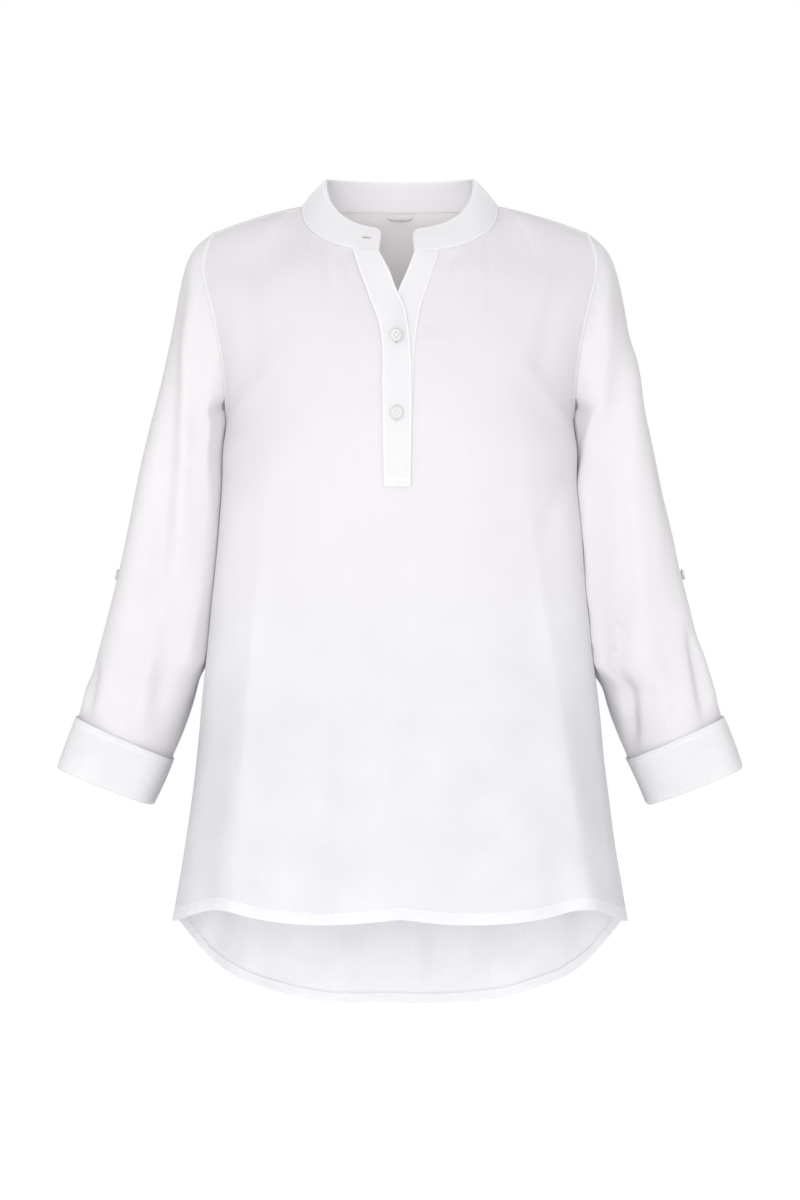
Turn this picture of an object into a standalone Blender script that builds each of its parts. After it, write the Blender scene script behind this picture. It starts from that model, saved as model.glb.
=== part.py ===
"""A white blouse with a band collar, a half placket and turned-up cuffs.

It is filled out with no wearer in it. Metres, +Z up; the front faces -Y, and left and
right are the wearer's, so left is +X. The origin is the centre of the neck opening, level
with the tops of the shoulders. Each piece of cloth is a wall between its outer face and
the same face moved in, and the outer faces are smooth surfaces through a few sections.
"""

import math

import bpy
import numpy as np
from mathutils import Matrix, Vector

# Cloth and seams
CLOTH = 0.0012
COLLAR_CLOTH = 0.0020
STRIP_CLOTH = 0.0014
CUFF_CLOTH = 0.0016
SEAM_GAP = 0.0003
LAY_GAP = 0.00035
COLLAR_GAP = 0.0005
LABEL_GAP = 0.0008

# Neckline and shoulders
NECK_HALF_WIDTH = 0.094
NECK_SIDE_Z = 0.002
NECK_FRONT_Y, NECK_FRONT_Z = -0.085, -0.050
NECK_BACK_Y, NECK_BACK_Z = 0.070, 0.005
NECK_ROUND = 0.87
SHOULDER_TIP = (0.1786, 0.0, -0.0237)
SHOULDER_BOW = 0.0022

# Over the shoulder seam the cloth sets off level, falling this much for each metre. From
# the neckline it sets off downwards, and the change lies between two across values
SHOULDER_FALL = 0.18
SHOULDER_SPREAD = 0.02
NECK_SIDE_SPREAD = 0.50
NECK_SIDE_SPREAD_END = 0.80
LEVEL_FROM, LEVEL_TO = 0.36, 0.56

# Collar band: how far its top edge rises above its seam and leans in, at three places
COLLAR_RISE = {"front": 0.0245, "side": 0.0270, "back": 0.0280}
COLLAR_LEAN = {"front": 0.0205, "side": 0.0235, "back": 0.0150}
COLLAR_CORNER = 0.009
COLLAR_END_SHARES = (0.0, 0.08, 0.2, 0.35, 0.65)
COLLAR_ENDS = (-0.0194, 0.0130)
NECK_MIDDLE = (0.0, -0.010, 0.0)
NECK_SPREAD = 0.28

# Outer seam on each side of the body: depth below the origin, x, y, and the angle that a
# section has turned through from the centre of the front to there
ARMHOLE_FRONT = (
    (0.055, 0.1865, -0.030, 42),
    (0.105, 0.1760, -0.050, 52),
    (0.150, 0.1675, -0.044, 64),
    (0.190, 0.1645, -0.022, 80),
)
ARMHOLE_BACK = (
    (0.055, 0.1855, 0.040, 42),
    (0.105, 0.1800, 0.056, 50),
    (0.150, 0.1705, 0.055, 58),
    (0.190, 0.1645, 0.036, 66),
)
SIDE_SEAM = (
    (0.215, 0.1650, 0.010, 97),
    (0.262, 0.1668, 0.010, 98),
    (0.300, 0.1705, 0.006, 97),
    (0.370, 0.1772, 0.002, 95),
    (0.450, 0.1855, 0.000, 92),
    (0.545, 0.1950, 0.000, 90),
    (0.620, 0.2060, 0.000, 90),
    (0.674, 0.2153, 0.000, 90),
)

# Centre line of each panel, one row for each row above: z, distance from the Y axis, and
# how square the section is, 2 being an ellipse
FRONT_CENTRE = (
    (-0.075, 0.098, 2.1),
    (-0.125, 0.115, 2.1),
    (-0.165, 0.123, 2.1),
    (-0.203, 0.127, 2.2),
    (-0.226, 0.128, 2.2),
    (-0.268, 0.127, 2.3),
    (-0.303, 0.126, 2.3),
    (-0.370, 0.125, 2.4),
    (-0.447, 0.127, 2.5),
    (-0.538, 0.131, 2.6),
    (-0.611, 0.135, 2.7),
    (-0.662, 0.137, 2.7),
)
BACK_CENTRE = (
    (-0.050, 0.088, 2.1),
    (-0.100, 0.098, 2.1),
    (-0.146, 0.104, 2.1),
    (-0.187, 0.107, 2.1),
    (-0.213, 0.108, 2.1),
    (-0.262, 0.106, 2.2),
    (-0.303, 0.104, 2.2),
    (-0.375, 0.103, 2.3),
    (-0.470, 0.108, 2.4),
    (-0.588, 0.120, 2.4),
    (-0.690, 0.131, 2.4),
    (-0.770, 0.137, 2.4),
)

# Hems, from the centre to the side seam: x, z
FRONT_HEM = (
    (0.000, -0.6623),
    (0.055, -0.6673),
    (0.098, -0.6661),
    (0.136, -0.6611),
    (0.158, -0.6558),
    (0.190, -0.6616),
    (0.2153, -0.6740),
)
BACK_HEM = (
    (0.0000, -0.7697),
    (0.0708, -0.7687),
    (0.1039, -0.7629),
    (0.1323, -0.7536),
    (0.1616, -0.7398),
    (0.1830, -0.7226),
    (0.1980, -0.7030),
    (0.2065, -0.6900),
    (0.2153, -0.6740),
)

# Largest folds of each panel: x and z where one starts, x at the hem, half width, height
FRONT_FOLDS = (
    (-0.098, -0.300, -0.106, 0.045, 0.0060),
    (0.108, -0.300, 0.121, 0.045, 0.0060),
    (-0.012, -0.330, -0.036, 0.030, -0.0045),
    (-0.138, -0.410, -0.160, 0.017, 0.0050),
    (0.134, -0.370, 0.170, 0.018, 0.0050),
)
BACK_FOLDS = (
    (-0.020, -0.230, -0.028, 0.024, 0.0060),
    (0.045, -0.300, 0.062, 0.022, 0.0050),
    (-0.085, -0.280, -0.108, 0.026, 0.0070),
    (0.112, -0.260, 0.140, 0.026, 0.0060),
    (0.012, -0.360, 0.016, 0.018, -0.0040),
)

# Placket: z, then the outer and inner edge of the upper strip, on the wearer's right, and
# the inner and outer edge of the under strip, as x
PLACKET = (
    (-0.0496, -0.0444, -0.0194, 0.0130, 0.0370),
    (-0.0673, -0.0380, -0.0101, 0.0065, 0.0307),
    (-0.0867, -0.0309, -0.0028, -0.0018, 0.0243),
    (-0.1028, -0.0250, 0.0046, -0.0066, 0.0193),
    (-0.1159, -0.0202, 0.0073, -0.0090, 0.0170),
    (-0.1370, -0.0170, 0.0096, -0.0108, 0.0144),
    (-0.1793, -0.0165, 0.0110, -0.0111, 0.0137),
    (-0.2160, -0.0159, 0.0106, -0.0111, 0.0133),
    (-0.2681, -0.0149, 0.0101, -0.0112, 0.0128),
)
STRIP_OVER_PANEL = 0.0029
STRIP_TOP_DOWN = 0.0022
SLIT_BOTTOM_Z = -0.2640
STRIP_BOTTOM_Z = -0.2681

# Sleeve sections below the armhole: the top point's x and z, the lower point's x and z, the
# top point's y, half the depth, how far the lower point lies behind the top one, and how far
# the corner between the front and the lower point is filled out
SLEEVE = (
    (0.2000, -0.045, 0.1690, -0.222, 0.012, 0.056, 0.000, 0.000),
    (0.2130, -0.090, 0.1706, -0.240, 0.019, 0.057, 0.004, 0.003),
    (0.2255, -0.150, 0.1720, -0.264, 0.025, 0.056, 0.010, 0.008),
    (0.2400, -0.220, 0.1756, -0.303, 0.026, 0.053, 0.012, 0.012),
    (0.2535, -0.280, 0.1798, -0.346, 0.025, 0.050, 0.012, 0.013),
    (0.2665, -0.337, 0.1845, -0.390, 0.022, 0.047, 0.010, 0.014),
    (0.2810, -0.395, 0.1906, -0.4385, 0.019, 0.0445, 0.005, 0.012),
    (0.2935, -0.441, 0.2012, -0.481, 0.017, 0.0425, 0.000, 0.004),
)
CORNER_WAY = (-0.95, -0.30, 0.0)

# Cuff, as two sections like the sleeve's, at its top edge and at its lower fold
CUFF_TOP = (0.3088, -0.482, 0.2157, -0.523, 0.015, 0.0420, 0.0, 0.0)
CUFF_FOLD = (0.3266, -0.5305, 0.2353, -0.5666, 0.013, 0.0400, 0.0, 0.0)
CUFF_INNER_TOP = 0.74
CUFF_SLOT_END = 0.93
SLEEVE_END = 0.90

# Buttons and label
BUTTON_RADIUS = 0.0058
BUTTON_THICK = 0.0024
BUTTON_RIM = 0.0013
BUTTON_DISH = 0.0006
PLACKET_BUTTONS = ((-0.0030, -0.130), (-0.0030, -0.201))
SLEEVE_BUTTON_RADIUS = 0.0050
SLEEVE_BUTTON_DOWN = 6.18
LABEL_HALF_WIDTH = 0.0130
LABEL_TOP_Z, LABEL_LOW_Z = 0.0036, -0.0053

# How finely each piece is divided, and how far apart two points are for a slope
NEAR = 0.002
SOLVE_STEPS = 6
NECK_COLUMNS = 7
SHOULDER_COLUMNS = 9
ARMHOLE_ROWS = 11
SLIT_ROWS = 3
SKIRT_ROWS = 11
SLEEVE_ROWS = 19
COLLAR_ROWS = 3
STRIP_COLUMNS = 3
BUTTON_SIDES = 16

# Colour and roughness of each kind of material
WHITE_CLOTH = ((0.90, 0.90, 0.91), 0.9)
DOUBLE_CLOTH = ((0.95, 0.95, 0.95), 0.9)
BUTTON_WHITE = ((0.78, 0.76, 0.74), 0.3)
LABEL_WHITE = ((0.86, 0.85, 0.84), 0.8)


# Curves and surfaces


def through(knots, values, at, start=None):
    """Values at the places asked for, on a smooth curve through the knots' values."""
    knots = np.asarray(knots, float)
    values = np.asarray(values, float)
    steps = np.diff(knots).reshape([-1] + [1] * (values.ndim - 1))
    chords = np.diff(values, axis=0) / steps
    slopes = np.empty_like(values)
    slopes[1:-1] = (chords[:-1] * steps[1:] + chords[1:] * steps[:-1]) / (steps[1:] + steps[:-1])
    slopes[0] = 1.5 * chords[0] - 0.5 * slopes[1] if start is None else start
    slopes[-1] = 1.5 * chords[-1] - 0.5 * slopes[-2]
    at = np.atleast_1d(np.asarray(at, float))
    k = np.clip(np.searchsorted(knots, at, side="right") - 1, 0, len(knots) - 2)
    step = steps[k]
    u = (at - knots[k]).reshape(step.shape) / step
    return (
        values[k] * (1 + 2 * u) * (1 - u) ** 2
        + slopes[k] * step * u * (1 - u) ** 2
        + values[k + 1] * u**2 * (3 - 2 * u)
        + slopes[k + 1] * step * u**2 * (u - 1)
    )


def signed_power(value, power):
    return np.sign(value) * np.abs(value) ** power


def ease(low, high, value):
    """0 below low, 1 above high and smooth between."""
    share = np.clip((value - low) / (high - low), 0.0, 1.0)
    return share * share * (3 - 2 * share)


def unit(vectors):
    return vectors / np.linalg.norm(vectors, axis=-1, keepdims=True)


def solve(rising, target, guess, step):
    """Where a smooth rising function of one number reaches the target."""
    place, value = guess, rising(guess) - target
    for _ in range(SOLVE_STEPS):
        after = rising(place + step) - target
        if abs(after - value) < 1e-9:
            break
        place, value, step = place + step, after, -after * step / (after - value)
    return place


class Body:
    """The front or the back of the body, read at a depth below the origin and an across
    value that is 0 on the centre line, 0.5 at the side of the neck and 1 at the side."""

    def __init__(self, facing, armhole, centre, hem, folds):
        self.facing = facing
        self.edge = np.array(armhole + SIDE_SEAM)
        self.centre = np.array(centre)
        self.hem = np.array(hem)
        self.folds = folds
        self.knots = np.concatenate([[0.0], self.edge[:, 0]])
        self.underarm = SIDE_SEAM[0][0]
        self.bottom = SIDE_SEAM[-1][0]

    def neckline(self, across):
        """The top edge: round the neck, then out along the shoulder seam."""
        turn = np.pi * np.minimum(across, 0.5)
        if self.facing < 0:
            cosine = np.abs(np.cos(turn)) ** NECK_ROUND
            y, z = NECK_FRONT_Y * cosine, NECK_SIDE_Z + (NECK_FRONT_Z - NECK_SIDE_Z) * cosine
        else:
            cosine = np.cos(turn)
            y, z = NECK_BACK_Y * cosine, NECK_SIDE_Z + (NECK_BACK_Z - NECK_SIDE_Z) * cosine
        x = NECK_HALF_WIDTH * signed_power(np.sin(turn), NECK_ROUND)
        out = np.clip(2 * across - 1, 0.0, 1.0)
        side = np.array([NECK_HALF_WIDTH, 0.0, NECK_SIDE_Z])
        along = out[..., None] * (np.array(SHOULDER_TIP) - side)
        z = z + 4 * SHOULDER_BOW * out * (1 - out)
        return np.stack([x, y, z], axis=-1) + along

    def section(self, row, across):
        """A level section of the panel, from the centre line to the side."""
        _, x_edge, y_edge, turn = self.edge[row]
        z_mid, depth, square = self.centre[row]
        if self.facing > 0 and row >= len(ARMHOLE_BACK):
            turn = 180 - turn
        power = 2 / square
        end = math.radians(turn)
        spread = NECK_SPREAD * max(0.0, 1 - self.edge[row, 0] / self.underarm) ** 2
        angle = end * (across + 4 * spread * across * (1 - across))
        sine = signed_power(np.sin(angle), power) / signed_power(math.sin(end), power)
        fall = (1 - signed_power(np.cos(angle), power)) / (1 - signed_power(math.cos(end), power))
        x = x_edge * sine
        y = self.facing * (depth - (depth - self.facing * y_edge) * fall)
        if row == len(self.edge) - 1:
            along_hem = np.clip(x, 0.0, self.hem[-1, 0]).ravel()
            z = through(self.hem[:, 0], self.hem[:, 1], along_hem).reshape(x.shape)
        else:
            z = z_mid + (-self.edge[row, 0] - z_mid) * across**2
        return np.stack([x, y, z], axis=-1)

    def seam(self, down):
        """The panel's outer edge: the armhole down to the underarm, then the side seam."""
        rows = len(ARMHOLE_FRONT) + 1
        points = self.edge[:, 1:3]
        level = -self.edge[:, :1]
        edge = np.hstack([points, level])
        armhole = through(self.knots[: rows + 1], np.vstack([SHOULDER_TIP, edge[:rows]]), down)
        side = through(self.edge[rows - 1 :, 0], edge[rows - 1 :], down)
        return np.where((down < self.underarm)[..., None], armhole, side)

    def smooth_point(self, down, across):
        """The surface without folds, on the +X half; down and across are flat lists."""
        rings = [self.neckline(across)]
        rings += [self.section(row, across) for row in range(len(self.edge))]
        rings = np.stack(rings)
        spot = np.arange(len(down))
        whole = through(self.knots, rings, down, self.roll(rings, across))[spot, spot]
        side = np.ones(1)
        ends = [self.neckline(side)] + [self.section(row, side) for row in range(len(self.edge))]
        ends = np.stack(ends)
        plain_edge = through(self.knots, ends, down, self.roll(ends, side))[:, 0]
        return whole + (across**4)[..., None] * (self.seam(down) - plain_edge)

    def roll(self, rings, across):
        """How the surface sets off from its top edge: level over the shoulder seam, so that
        the front and the back make one round, and straight down from the neckline."""
        chord = (rings[1] - rings[0]) / self.knots[1]
        near_neck = 1 - ease(0.5, NECK_SIDE_SPREAD_END, across)
        sideways = SHOULDER_SPREAD + NECK_SIDE_SPREAD * near_neck
        away = np.full_like(across, self.facing)
        level = np.stack([sideways, away, np.full_like(across, -SHOULDER_FALL)], axis=-1)
        level = unit(level) * np.linalg.norm(chord, axis=-1, keepdims=True)
        share = ease(LEVEL_FROM, LEVEL_TO, across)[..., None]
        return chord * (1 - share) + level * share

    def fold(self, x, z):
        """How far the folds push the cloth out."""
        out = np.zeros_like(x)
        for x_top, z_top, x_low, width, height in self.folds:
            way = (z_top - z) / (z_top - self.centre[-1, 0])
            middle = x_top + (x_low - x_top) * way
            out += height * ease(0.0, 0.75, way) * np.exp(-(((x - middle) / width) ** 2))
        return out

    def point(self, side, down, across):
        """Points on the outer face, on the wearer's left for side 1 and right for side -1."""
        down, across = np.broadcast_arrays(np.asarray(down, float), np.asarray(across, float))
        shape = down.shape
        down, across = down.ravel(), across.ravel()
        here = self.smooth_point(down, across)
        ahead = self.smooth_point(down, np.minimum(across + NEAR, 1.0))
        behind = self.smooth_point(down, np.maximum(across - NEAR, 0.0))
        along = ahead - behind
        out = np.stack([-along[:, 1], along[:, 0], np.zeros(len(down))], axis=-1) * self.facing
        push = self.fold(side * here[:, 0], here[:, 2]) * (1 - across**6)
        moved = here + unit(out) * push[:, None]
        moved[:, 0] *= side
        return moved.reshape(shape + (3,))

    def outward(self, side, down, across):
        """Unit normals of the outer face, the same for both panels where they meet."""
        down, across = np.broadcast_arrays(np.asarray(down, float), np.asarray(across, float))
        low, high = np.maximum(down - NEAR, 0.0), np.minimum(down + NEAR, self.bottom)
        near, far = np.maximum(across - NEAR, 0.0), np.minimum(across + NEAR, 1.0)
        fall = self.point(side, high, across) - self.point(side, low, across)
        reach = self.point(side, down, far) - self.point(side, down, near)
        return unit(np.cross(fall, reach) * -self.facing * side)

    def across_at(self, side, down, x):
        """The across value where the panel's row at this depth has this x."""
        return solve(lambda a: float(side * self.point(side, down, a)[..., 0]), side * x, 0.05, 0.02)

    def down_at(self, z):
        """The depth at which the centre line has this z."""
        return solve(lambda d: float(-self.point(1, d, 0.02)[..., 2]), -z, 0.1, 0.02)


FRONT = Body(-1, ARMHOLE_FRONT, FRONT_CENTRE, FRONT_HEM, FRONT_FOLDS)
BACK = Body(1, ARMHOLE_BACK, BACK_CENTRE, BACK_HEM, BACK_FOLDS)


def placket_edge(column, z):
    """x of one edge of the placket's strips, by the column of its table."""
    table = np.array(PLACKET)[::-1]
    return through(table[:, 0], table[:, column], np.clip(z, table[0, 0], table[-1, 0]))[0]


def body_rows():
    """Depths of the panels' rows, with one at the underarm and one at the slit's foot."""
    slit = FRONT.down_at(SLIT_BOTTOM_Z)
    top = np.linspace(0.0, FRONT.underarm, ARMHOLE_ROWS + 1)
    middle = np.linspace(FRONT.underarm, slit, SLIT_ROWS + 1)
    skirt = np.linspace(slit, FRONT.bottom, SKIRT_ROWS + 1)
    return np.concatenate([top, middle[1:], skirt[1:]])


def columns(inner):
    """Across values from a panel's inner edge, past the side of the neck, to the side."""
    neck = np.linspace(inner, 0.5, NECK_COLUMNS + 1)
    shoulder = np.linspace(0.5, 1.0, SHOULDER_COLUMNS + 1)
    return np.concatenate([neck, shoulder[1:]])


def slit_edge(side, down):
    """The front panel's inner edge, as an across value."""
    z = FRONT.point(side, down, 0.05)[..., 2]
    if side < 0:
        x = placket_edge(1, z) + STRIP_OVER_PANEL
    else:
        x = placket_edge(4, z) + SEAM_GAP
    return FRONT.across_at(side, down, x)


# Meshes


def material(name, look):
    colour, roughness = look
    made = bpy.data.materials.new(name)
    made.use_nodes = True
    shader = made.node_tree.nodes["Principled BSDF"]
    shader.inputs["Base Color"].default_value = (*colour, 1.0)
    shader.inputs["Roughness"].default_value = roughness
    shader.inputs["Metallic"].default_value = 0.0
    return made


def add_object(name, points, faces, look):
    mesh = bpy.data.meshes.new(name)
    mesh.from_pydata([tuple(map(float, p)) for p in points], [], faces)
    mesh.update()
    mesh.shade_smooth()
    mesh.set_sharp_from_angle(angle=math.radians(50))
    mesh.materials.append(material(name, look))
    made = bpy.data.objects.new(name, mesh)
    bpy.context.collection.objects.link(made)
    return made


def wall(name, outer, inner, look, closed=False, missing=()):
    """A closed wall between two grids of points. Rows run down, and seen from outside
    columns run to the right. A closed grid joins its last column to its first, and the
    cells named in missing are left open."""
    rows, width = outer.shape[:2]
    inside = rows * width
    faces = []
    for i in range(rows - 1):
        for j in range(width if closed else width - 1):
            if (i, j) in missing:
                continue
            a, b = i * width + j, i * width + (j + 1) % width
            faces.append((a, a + width, b + width, b))
    used = {}
    for face in faces:
        for a, b in zip(face, face[1:] + face[:1]):
            used[(a, b)] = (b, a) not in used
            if not used[(a, b)]:
                used[(b, a)] = False
    rims = [(b, a, a + inside, b + inside) for (a, b), edge in used.items() if edge]
    inner_faces = [tuple(p + inside for p in reversed(face)) for face in faces]
    points = np.concatenate([outer.reshape(-1, 3), inner.reshape(-1, 3)])
    return add_object(name, points, faces + inner_faces + rims, look)


def shared_normals(body, other, side, rows, across):
    """Normals of a panel, averaged with its neighbour's along the shoulder and side seams."""
    normals = body.outward(side, rows[:, None], across)
    seam = other.outward(side, rows, np.ones(len(rows)))
    below = rows >= body.underarm - 1e-9
    normals[below, -1] = unit(normals[below, -1] + seam[below])
    shoulder = other.outward(side, np.zeros(across.shape[1]), across[0])
    outside = across[0] >= 0.5 - 1e-9
    normals[0, outside] = unit(normals[0, outside] + shoulder[outside])
    return normals


def half_panel(body, other, side, rows, across):
    """Outer points and normals of one half, from the centre line or slit to the side."""
    points = body.point(side, rows[:, None], across)
    normals = shared_normals(body, other, side, rows, across)
    eased = points.copy()
    outside = across[0] >= 0.5 - 1e-9
    eased[0, outside, 1] += body.facing * SEAM_GAP / 2
    below = rows >= body.underarm - 1e-9
    inward = unit(points[:, -2] - points[:, -1]) * SEAM_GAP / 2
    eased[below, -1] += inward[below]
    return eased, normals


def panel_grids(body, other, inner_edges):
    """Both halves of a panel side by side, in the order that wall expects."""
    rows = body_rows()
    halves = []
    for side in (-1, 1):
        across = np.array([columns(inner_edges(side, down)) for down in rows])
        halves.append(half_panel(body, other, side, rows, across))
    (right, right_out), (left, left_out) = halves
    outer = np.concatenate([right[:, ::-1], left], axis=1)
    out = np.concatenate([right_out[:, ::-1], left_out], axis=1)
    if body.facing > 0:
        outer, out = outer[:, ::-1], out[:, ::-1]
    return outer, out


def front_panel():
    outer, out = panel_grids(FRONT, BACK, slit_edge)
    middle = NECK_COLUMNS + SHOULDER_COLUMNS
    slit = {(row, middle) for row in range(ARMHOLE_ROWS + SLIT_ROWS)}
    return wall("front", outer, outer - out * CLOTH, WHITE_CLOTH, missing=slit)


def back_panel():
    """The back has no slit, so its two halves share their centre column."""
    outer, out = panel_grids(BACK, FRONT, lambda side, down: 0.0)
    middle = NECK_COLUMNS + SHOULDER_COLUMNS
    outer, out = np.delete(outer, middle, axis=1), np.delete(out, middle, axis=1)
    return wall("back", outer, outer - out * CLOTH, WHITE_CLOTH)


# Collar and placket


def blend(places, turn):
    """A collar size at a turn from 0 at the centre front, 1 at the side, to 2 at the back."""
    sizes = np.array([places["front"], places["side"], places["back"]])
    return through([0.0, 1.0, 2.0], sizes, turn)


def collar_line():
    """The collar's columns round the neck: the body they follow, side, across value."""
    line = []
    for side, end in ((-1, COLLAR_ENDS[0]), (1, COLLAR_ENDS[1])):
        edge = slit_edge(side, 0.0)
        tip = FRONT.across_at(side, 0.0, end)
        over_strip = tip + (edge - tip) * np.array(COLLAR_END_SHARES)
        half = [(FRONT, side, a) for a in np.concatenate([over_strip, columns(edge)[:NECK_COLUMNS]])]
        half += [(BACK, side, a) for a in columns(0.0)[NECK_COLUMNS::-1]]
        line.append(half)
    return line[0] + line[1][-2::-1]


def facing_neck(vectors, seam):
    """Unit vectors, each turned to point at the middle of the neck opening."""
    inside = np.sum(vectors * (np.array(NECK_MIDDLE) - seam), axis=-1)
    return unit(vectors) * np.sign(inside)[:, None]


def collar():
    line = collar_line()
    seam = np.array([body.point(side, 0.0, a) for body, side, a in line])
    out = np.array([body.outward(side, 0.0, a) for body, side, a in line])
    turn = np.array([2 * a if body is FRONT else 2 - 2 * a for body, _, a in line])
    run = np.concatenate([[0.0], np.cumsum(np.linalg.norm(np.diff(seam, axis=0), axis=1))])
    from_end = np.minimum(run, run[-1] - run)
    rise, lean = blend(COLLAR_RISE, turn), blend(COLLAR_LEAN, turn)
    height = np.hypot(rise, lean)
    missing = 1 - np.clip(from_end / COLLAR_CORNER, 0.0, 1.0)
    share = 1 - COLLAR_CORNER / height * (1 - np.sqrt(1 - missing**2))
    tangent = unit(np.gradient(seam, axis=0))
    level_in = facing_neck(np.cross(tangent, [0.0, 0.0, 1.0]), seam)
    up = level_in * (lean * share)[:, None] + np.array([0, 0, 1.0]) * (rise * share)[:, None]
    level = np.linspace(1.0, 0.0, COLLAR_ROWS + 1)[:, None, None]
    outer = seam + facing_neck(np.cross(tangent, out), seam) * COLLAR_GAP + up * level
    inner = outer + facing_neck(np.cross(tangent, up), seam) * COLLAR_CLOTH
    inner[-1] = outer[-1] - out * COLLAR_CLOTH
    return wall("collar", outer[:, ::-1], inner[:, ::-1], DOUBLE_CLOTH)


def strip(name, edges, levels, depths):
    """A placket strip over the front's surface: its outer and inner faces' heights above
    that surface, between two columns of the placket's table."""
    points = []
    normals = []
    for down in depths:
        z = float(FRONT.point(1, down, 0.02)[..., 2])
        xs = np.linspace(placket_edge(edges[0], z), placket_edge(edges[1], z), STRIP_COLUMNS + 1)
        sides = [1 if x > 0 else -1 for x in xs]
        across = [FRONT.across_at(side, down, x) for side, x in zip(sides, xs)]
        points.append([FRONT.point(side, down, a) for side, a in zip(sides, across)])
        normals.append([FRONT.outward(side, down, a) for side, a in zip(sides, across)])
    points, normals = np.array(points), np.array(normals)
    outer, inner = (points + normals * level for level in levels)
    return wall(name, outer, inner, DOUBLE_CLOTH)


def placket():
    rows = body_rows()[1 : ARMHOLE_ROWS + SLIT_ROWS]
    foot = FRONT.down_at(STRIP_BOTTOM_Z)
    slit_foot = FRONT.down_at(SLIT_BOTTOM_Z + SEAM_GAP * 2)
    upper_rows = np.concatenate([[STRIP_TOP_DOWN], rows, [FRONT.down_at(SLIT_BOTTOM_Z), foot]])
    under_rows = np.concatenate([[STRIP_TOP_DOWN], rows, [slit_foot]])
    strip("placket_upper", (1, 2), (LAY_GAP + STRIP_CLOTH, LAY_GAP), upper_rows)
    strip("placket_under", (3, 4), (0.0, -CLOTH), under_rows)


# Sleeves and cuffs


def oval(section, turn, out=0.0):
    """Points of a sleeve section at turns from its top, forward; out widens it all round."""
    x_top, z_top, x_low, z_low, y_top, depth, back, swell = section
    top, low = np.array([x_top, y_top, z_top]), np.array([x_low, y_top + back, z_low])
    half = (top - low) / 2
    half = half * (1 + out / np.linalg.norm(half))
    forward = np.array([0.0, -depth - out, 0.0])
    turn = np.asarray(turn, float)[..., None]
    points = (top + low) / 2 + np.cos(turn) * half + np.sin(turn) * forward
    lower_front = (np.cos(turn) < 0) & (np.sin(turn) > 0)
    corner = np.where(lower_front, np.sin(2 * turn) ** 2, 0.0)
    return points + corner * swell * np.array(CORNER_WAY)


def cuff_section(share):
    """A cuff section a share of the way from its top edge to its lower fold."""
    return tuple(a + (b - a) * share for a, b in zip(CUFF_TOP, CUFF_FOLD))


def sleeve_turns():
    return np.linspace(0.0, 2 * np.pi, 2 * ARMHOLE_ROWS + 1)[:-1]


def armhole_loop():
    """The armhole's edge from the shoulder down the front and up the back."""
    rows = body_rows()[: ARMHOLE_ROWS + 1]
    front = FRONT.seam(rows)
    back = BACK.seam(rows)
    return np.concatenate([front, back[-2:0:-1]])


def sleeve_sections():
    """Rings of the sleeve's outer face, the armhole's edge first."""
    under_cuff = -(CUFF_CLOTH + LAY_GAP)
    turns = sleeve_turns()
    rings = [armhole_loop() + np.array([SEAM_GAP * 1.3, 0.0, 0.0])]
    rings += [oval(section, turns) for section in SLEEVE]
    rings += [oval(cuff_section(share), turns, under_cuff) for share in (0.0, SLEEVE_END)]
    return np.array(rings)


def mirrored(grid, side):
    """The grid for one side of the body, in the column order that wall expects."""
    if side > 0:
        return grid[:, ::-1]
    return grid * np.array([-1.0, 1.0, 1.0])


def sleeve(side, name):
    rings = sleeve_sections()
    knots = np.arange(len(rings), dtype=float)
    down = np.linspace(0.0, knots[-1], SLEEVE_ROWS + 1)
    outer = through(knots, rings, down)
    fall = np.gradient(outer, axis=0)
    round_it = np.roll(outer, -1, axis=1) - np.roll(outer, 1, axis=1)
    out = unit(np.cross(round_it, fall))
    inner = outer - out * CLOTH
    flat = out[0] * np.array([0.0, 1.0, 1.0])
    inner[0] = outer[0] - unit(flat) * CLOTH
    wall(name, mirrored(outer, side), mirrored(inner, side), WHITE_CLOTH, closed=True)


def cuff(side, name):
    """A hairpin all round: an outer leg over the sleeve's end, a fold, a short inner leg."""
    slot = CUFF_CLOTH + CLOTH + 2 * LAY_GAP
    back = slot + CUFF_CLOTH
    outline = (
        (0.0, 0.0),
        (0.5, 0.0),
        (0.96, 0.0),
        (1.0, -CUFF_CLOTH / 2),
        (1.0, -back + CUFF_CLOTH / 2),
        (0.96, -back),
        (CUFF_INNER_TOP, -back),
        (CUFF_INNER_TOP, -slot),
        (CUFF_SLOT_END, -slot),
        (CUFF_SLOT_END, -CUFF_CLOTH),
        (0.5, -CUFF_CLOTH),
        (0.0, -CUFF_CLOTH),
    )
    turns = sleeve_turns()
    rings = mirrored(np.array([oval(cuff_section(s), turns, out) for s, out in outline]), side)
    width = len(turns)
    faces = []
    for i in range(len(outline)):
        low = (i + 1) % len(outline)
        for j in range(width):
            k = (j + 1) % width
            faces.append((i * width + j, low * width + j, low * width + k, i * width + k))
    add_object(name, rings.reshape(-1, 3), faces, DOUBLE_CLOTH)


# Buttons and label


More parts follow.
